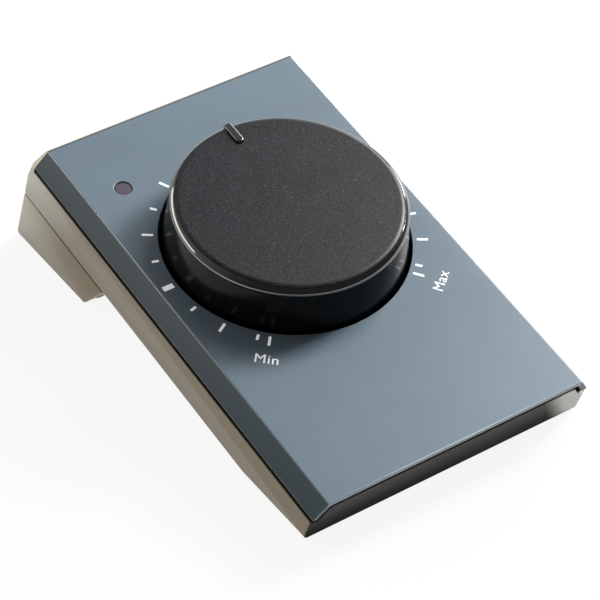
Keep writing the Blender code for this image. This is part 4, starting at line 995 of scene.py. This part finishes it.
@dataclass
class Knob:
    """The volume knob: a glossy skirt, a glossy chamfered rim, a satin top and a raised pointer."""

    skirt_top_radius: float = 0.03206
    skirt_top: float = 0.0129
    skirt_panel_radius: float = 0.0333
    skirt_foot_radius: float = 0.0334
    skirt_foot: float = -0.0036
    wall: float = 0.0020
    rim_radius: float = 0.0308
    rim_top: float = 0.01422
    rim_seat: float = 0.0124
    rim_bulge: float = 0.00016
    inlay_top: float = 0.01465
    inlay_foot: float = 0.0130
    roll_width: float = 0.0012
    roll_depth: float = 0.00038
    lip_round: float = 0.00035
    crown_round: float = 0.00010
    hub_radius: float = 0.0060
    hub_foot: float = -0.0015
    bore_radius: float = 0.0033
    bore_top: float = 0.0096
    ceiling: float = 0.0097
    pointer_inner: float = 0.0240
    pointer_outer: float = 0.0315
    pointer_width: float = 0.0022
    pointer_top: float = 0.0154
    pointer_round: float = 0.0004
    pointer_end_share: float = 0.98
    pointer_steps: int = 8
    chamfer_points: int = 13
    roll_points: int = 9
    over_points: int = 7

    def build_body(self) -> None:
        """Makes the skirt with its rounded lip, the deck under the inlay and the hollow hub."""
        seat = self.rim_radius - FIT
        crown = self.inlay_foot - FIT
        corners = [
            (0, crown), (seat, crown), (seat, self.rim_seat - FIT),
            (self.skirt_top_radius, self.rim_seat - FIT),
            (self.skirt_panel_radius, 0), (self.skirt_foot_radius, self.skirt_foot),
            (self.skirt_foot_radius - self.wall, self.skirt_foot),
            (self.skirt_top_radius - self.wall, self.ceiling),
            (self.hub_radius, self.ceiling), (self.hub_radius, self.hub_foot),
            (self.bore_radius, self.hub_foot), (self.bore_radius, self.bore_top), (0, self.bore_top),
        ]
        soft = self.lip_round
        radii = [0, 0, 0, self.crown_round, 0, soft, soft, soft, soft, soft / 2, soft / 2, 0, 0]
        profile = rounded_outline(corners, radii, closed=False)
        mesh = turned_mesh("knob_skirt", profile, FINE_TURN)
        Piece("knob_skirt", Finishes.KNOB_GLOSS, Body.KNOB, ("knob_body",), SOFT_EDGE).settle(on_top(mesh))

    def pointer_outline(self, grow: float, reach: float) -> np.ndarray:
        """The pointer's plan with a round inner end, wider all round by a clearance."""
        half = self.pointer_width / 2 + grow
        inner = self.pointer_inner - grow
        corners = [(-half, inner), (half, inner), (half, reach), (-half, reach)]
        large, small = half * self.pointer_end_share, self.pointer_round
        return rounded_outline(corners, [large, large, small, small], steps=self.pointer_steps)

    def slot(self) -> bpy.types.Mesh:
        """The shape that clears the rim and the inlay round the pointer."""
        plan = self.pointer_outline(FIT / 2, self.skirt_top_radius + OVERRUN)
        return layered_mesh("pointer_slot", plan[None], np.array([(0, 0), (0, OVERRUN)]))

    def build_rim(self) -> None:
        """Makes the glossy ring, whose chamfer bulges: top + t (foot - top) + 4 bulge t (1 - t) outward."""
        top = np.array([self.rim_radius, self.rim_top])
        foot = np.array([self.skirt_top_radius, self.skirt_top])
        run = foot - top
        out = np.array([-run[1], run[0]]) / np.linalg.norm(run)
        share = np.linspace(0, 1, self.chamfer_points)[:, None]
        chamfer = top + share * run + 4 * self.rim_bulge * share * (1 - share) * out
        seat = [(self.skirt_top_radius, self.rim_seat), (self.rim_radius, self.rim_seat)]
        profile = np.concatenate([chamfer, seat])
        mesh = carved(turned_mesh("knob_rim_ring", profile, FINE_TURN, closed=True), [self.slot()])
        Piece("knob_rim_ring", Finishes.RIM_GLOSS, Body.KNOB, ("knob_rim",)).settle(on_top(mesh))

    def build_inlay(self) -> None:
        """Makes the satin disc, whose edge rolls over: r = edge - width (1 - t), z = top - depth t^2."""
        edge = self.rim_radius - FIT / 2
        share = np.linspace(0, 1, self.roll_points)
        fall = self.inlay_top - self.roll_depth * share**2
        roll = np.stack([edge - self.roll_width * (1 - share), fall], axis=1)
        foot = [(edge, self.inlay_foot), (0, self.inlay_foot)]
        profile = np.concatenate([[(0, self.inlay_top)], roll, foot])
        mesh = carved(turned_mesh("knob_top_disc", profile, FINE_TURN), [self.slot()])
        piece = Piece("knob_top_disc", Finishes.INLAY_SATIN, Body.KNOB, ("knob_inlay",), SOFT_EDGE)
        piece.settle(on_top(mesh))

    def build_pointer(self) -> None:
        """Makes the raised bar, whose top is rounded over by drawing its outline in."""
        plan = self.pointer_outline(0, self.pointer_outer)
        turn = np.linspace(0, math.pi / 2, self.over_points)
        over = self.pointer_round
        inset = np.concatenate([[0.0], over * (1 - np.cos(turn))])
        height = np.concatenate([[self.inlay_foot], self.pointer_top - over + over * np.sin(turn)])
        mesh = layered_mesh("knob_pointer_bar", plan[None], np.stack([inset, height], axis=1))
        Piece("knob_pointer_bar", Finishes.POINTER_GLOSS, Body.KNOB, ("knob_pointer",)).settle(on_top(mesh))

    def build(self) -> None:
        """Makes the knob's four pieces."""
        self.build_body()
        self.build_rim()
        self.build_inlay()
        self.build_pointer()


@dataclass
class Lamp:
    """The small round lens to the left of the knob."""

    top: float = -0.00035
    bulge: float = 0.00008
    dome_points: int = 10
    collar_radius: float = 0.0033
    collar_top: float = -0.0041
    collar_foot: float = -0.0051
    foot: float = -0.0060

    def build(self) -> None:
        """Makes the lens: a low dome, z = top + bulge (1 - (r / radius)^2), on its stepped stem."""
        out = np.linspace(0, 1, self.dome_points)
        dome = np.stack([out * LENS_RADIUS, self.top + self.bulge * (1 - out**2)], axis=1)
        stem = [
            (LENS_RADIUS, self.collar_top), (self.collar_radius, self.collar_top),
            (self.collar_radius, self.collar_foot), (LENS_RADIUS, self.collar_foot),
            (LENS_RADIUS, self.foot), (0, self.foot),
        ]
        mesh = turned_mesh("lamp_lens_dome", np.concatenate([dome, stem]), SMALL_TURN)
        mesh.transform(Matrix.Translation((LAMP_SIDE, LAMP_STATION, 0)))
        Piece("lamp_lens_dome", Finishes.LAMP_LENS, Body.CASE, ("lamp_lens",), SOFT_EDGE).settle(on_top(mesh))


@dataclass
class Softened:
    """Case pieces whose CAD shape is right, shown with finely rounded edges."""

    metal_edge: float = 0.00012
    pad_edge: float = 0.0002
    socket_edge: float = 0.0001
    socket_count: int = 4

    def build(self) -> None:
        """Makes a merged copy of each node and rounds its edges."""
        numbers = range(1, self.socket_count + 1)
        pads = ("front_pad", "rear_pad_left", "rear_pad_right")
        groups = (
            (("housing", "rear_foot"), Finishes.HOUSING_METAL, self.metal_edge),
            (pads, Finishes.PAD_RUBBER, self.pad_edge),
            (("socket_plate",), Finishes.PLATE_PAINT, self.socket_edge),
            (("power_inlet",), Finishes.SOCKET_PLASTIC, self.socket_edge),
            ([f"signal_socket_{number}" for number in numbers], Finishes.SOCKET_PLASTIC, self.socket_edge),
            ([f"socket_nut_{number}" for number in numbers], Finishes.NICKEL, self.socket_edge),
        )
        for nodes, finish, edge in groups:
            for node in nodes:
                Piece(node + "_softened", finish, Body.CASE, (node,), edge).settle(copied_mesh(node))


@dataclass
class InnerParts:
    """The CAD nodes that stay as they are and only take a finish."""

    finishes: tuple[tuple[tuple[str, ...], Finishes], ...] = (
        (("inner_deck",), Finishes.DECK_PLASTIC),
        (("circuit_board", "socket_board"), Finishes.BOARD_GREEN),
        (("board_link",), Finishes.SOCKET_PLASTIC),
        (("lamp_body",), Finishes.LIGHT_GUIDE),
        (("control_bush", "control_nut"), Finishes.NICKEL),
        (("control_", "case_screw_", "foot_screw_", "board_screw_"), Finishes.STEEL),
    )

    def build(self) -> None:
        """Dresses each node by the first row that holds the start of its name."""
        for node, item in frame["nodes"].items():
            for starts, finish in self.finishes:
                if node.startswith(starts):
                    for held in item.material_slots:
                        held.material = finish.material()
                    LOG.info("%s: dressed in %s", node, finish.value.name)
                    break


# Studio

@dataclass(frozen=True)
class Softbox:
    """One soft studio lamp, turned towards the unit."""

    name: str
    place: Point
    width: float
    height: float
    power: float
    colour: Colour = (1.0, 1.0, 1.0)

    def build(self, aim: Vector) -> None:
        """Sets the lamp up, facing the point it aims at."""
        light = bpy.data.lights.new(self.name, "AREA")
        light.shape = "RECTANGLE"
        light.size = self.width
        light.size_y = self.height
        light.energy = self.power
        light.color = self.colour
        item = added(self.name, light)
        item.location = self.place
        item.rotation_euler = (aim - Vector(self.place)).to_track_quat("-Z", "Y").to_euler()


@dataclass
class Studio:
    """The camera at the photograph's angle, the lamps, the surroundings and the pale floor."""

    lens: float = 159.25
    sensor: float = 36.0
    azimuth: float = math.radians(-34.05)
    elevation: float = math.radians(40.8)
    distance: float = 0.7195
    target: Point = (-0.000258, -0.004487, 0.012032)
    floor_size: float = 8.0
    floor_colour: Colour = (0.92, 0.92, 0.92)
    floor_glow: float = 0.90
    world_front: Colour = (0.07, 0.07, 0.07)
    world_rear: Colour = (0.36, 0.36, 0.37)
    world_rise: Rise = (-0.5, 0.6)
    lamps: tuple[Softbox, ...] = (
        Softbox("key_lamp", (1.25, 0.08, 0.82), 0.36, 0.36, 26.0),
        Softbox("sheen_lamp", (0.97, 0.20, 1.12), 0.50, 0.50, 6.5),
        Softbox("left_lamp", (-0.85, 1.10, 0.48), 1.5, 0.45, 8.0, (1.0, 0.94, 0.84)),
        Softbox("edge_lamp", (1.15, 0.64, 0.42), 0.7, 0.5, 9.0),
    )

    def place_camera(self) -> None:
        """Looks at the target from the photograph's azimuth, elevation and distance."""
        scene = bpy.context.scene
        camera = bpy.data.cameras.new("camera")
        camera.lens = self.lens
        camera.sensor_width = self.sensor
        item = added("camera", camera)
        level = math.cos(self.elevation)
        away = Vector(
            (math.sin(self.azimuth) * level, -math.cos(self.azimuth) * level, math.sin(self.elevation))
        )
        item.location = Vector(self.target) + away * self.distance
        item.rotation_euler = (-away).to_track_quat("-Z", "Y").to_euler()
        scene.camera = item
        scene.view_settings.view_transform = "Standard"

    def surround(self) -> None:
        """Colours the surroundings by direction: dark on the front side, pale behind."""
        world = bpy.data.worlds.new("studio")
        world.use_nodes = True
        graph = Graph(world.node_tree)
        direction = graph.node("TexCoord", out="Generated")
        _, y, _ = graph.axes(direction)
        colour = graph.blend(y.eased(*self.world_rise), self.world_front, self.world_rear)
        shader = graph.node("Background", None, {"Color": colour, "Strength": 1.0})
        graph.node("OutputWorld", None, {"Surface": shader})
        bpy.context.scene.world = world

    def lay_floor(self) -> None:
        """Lays a white floor that camera, glossy and transmission rays see brighter, its shadow kept."""
        half = self.floor_size / 2
        corners = np.array([(-half, -half, 0), (half, -half, 0), (half, half, 0), (-half, half, 0)])
        mesh = bpy.data.meshes.new("floor")
        mesh.from_pydata(corners.tolist(), [], [(0, 1, 2, 3)])
        material = bpy.data.materials.new("pale_floor")
        material.use_nodes = True
        graph = Graph(material.node_tree)
        path = graph.node("LightPath")
        seen = path.output("Is Camera Ray").above(path.output("Is Glossy Ray"))
        seen = seen.above(path.output("Is Transmission Ray"))
        matt = graph.node("BsdfDiffuse", None, {"Color": self.floor_colour})
        glow = graph.node("Emission", None, {"Color": (1.0, 1.0, 1.0), "Strength": 1.0})
        mixed = graph.node("MixShader", None, {0: seen * self.floor_glow, 1: matt, 2: glow})
        graph.node("OutputMaterial", None, {"Surface": mixed})
        mesh.materials.append(material)
        added("floor", mesh)

    def build(self) -> None:
        """Sets up the camera, the surroundings, the lamps and the floor."""
        self.place_camera()
        self.surround()
        for lamp in self.lamps:
            lamp.build(Vector(self.target))
        self.lay_floor()


def main() -> None:
    """Builds the studio and the unit, piece by piece."""
    logging.basicConfig(level=logging.INFO, format="%(message)s")
    for assembly in (Studio(), Cover(), GapLining(), Scale(), Knob(), Lamp(), Softened(), InnerParts()):
        LOG.info("building %s", type(assembly).__name__)
        assembly.build()


if __name__ == "__main__":
    main()
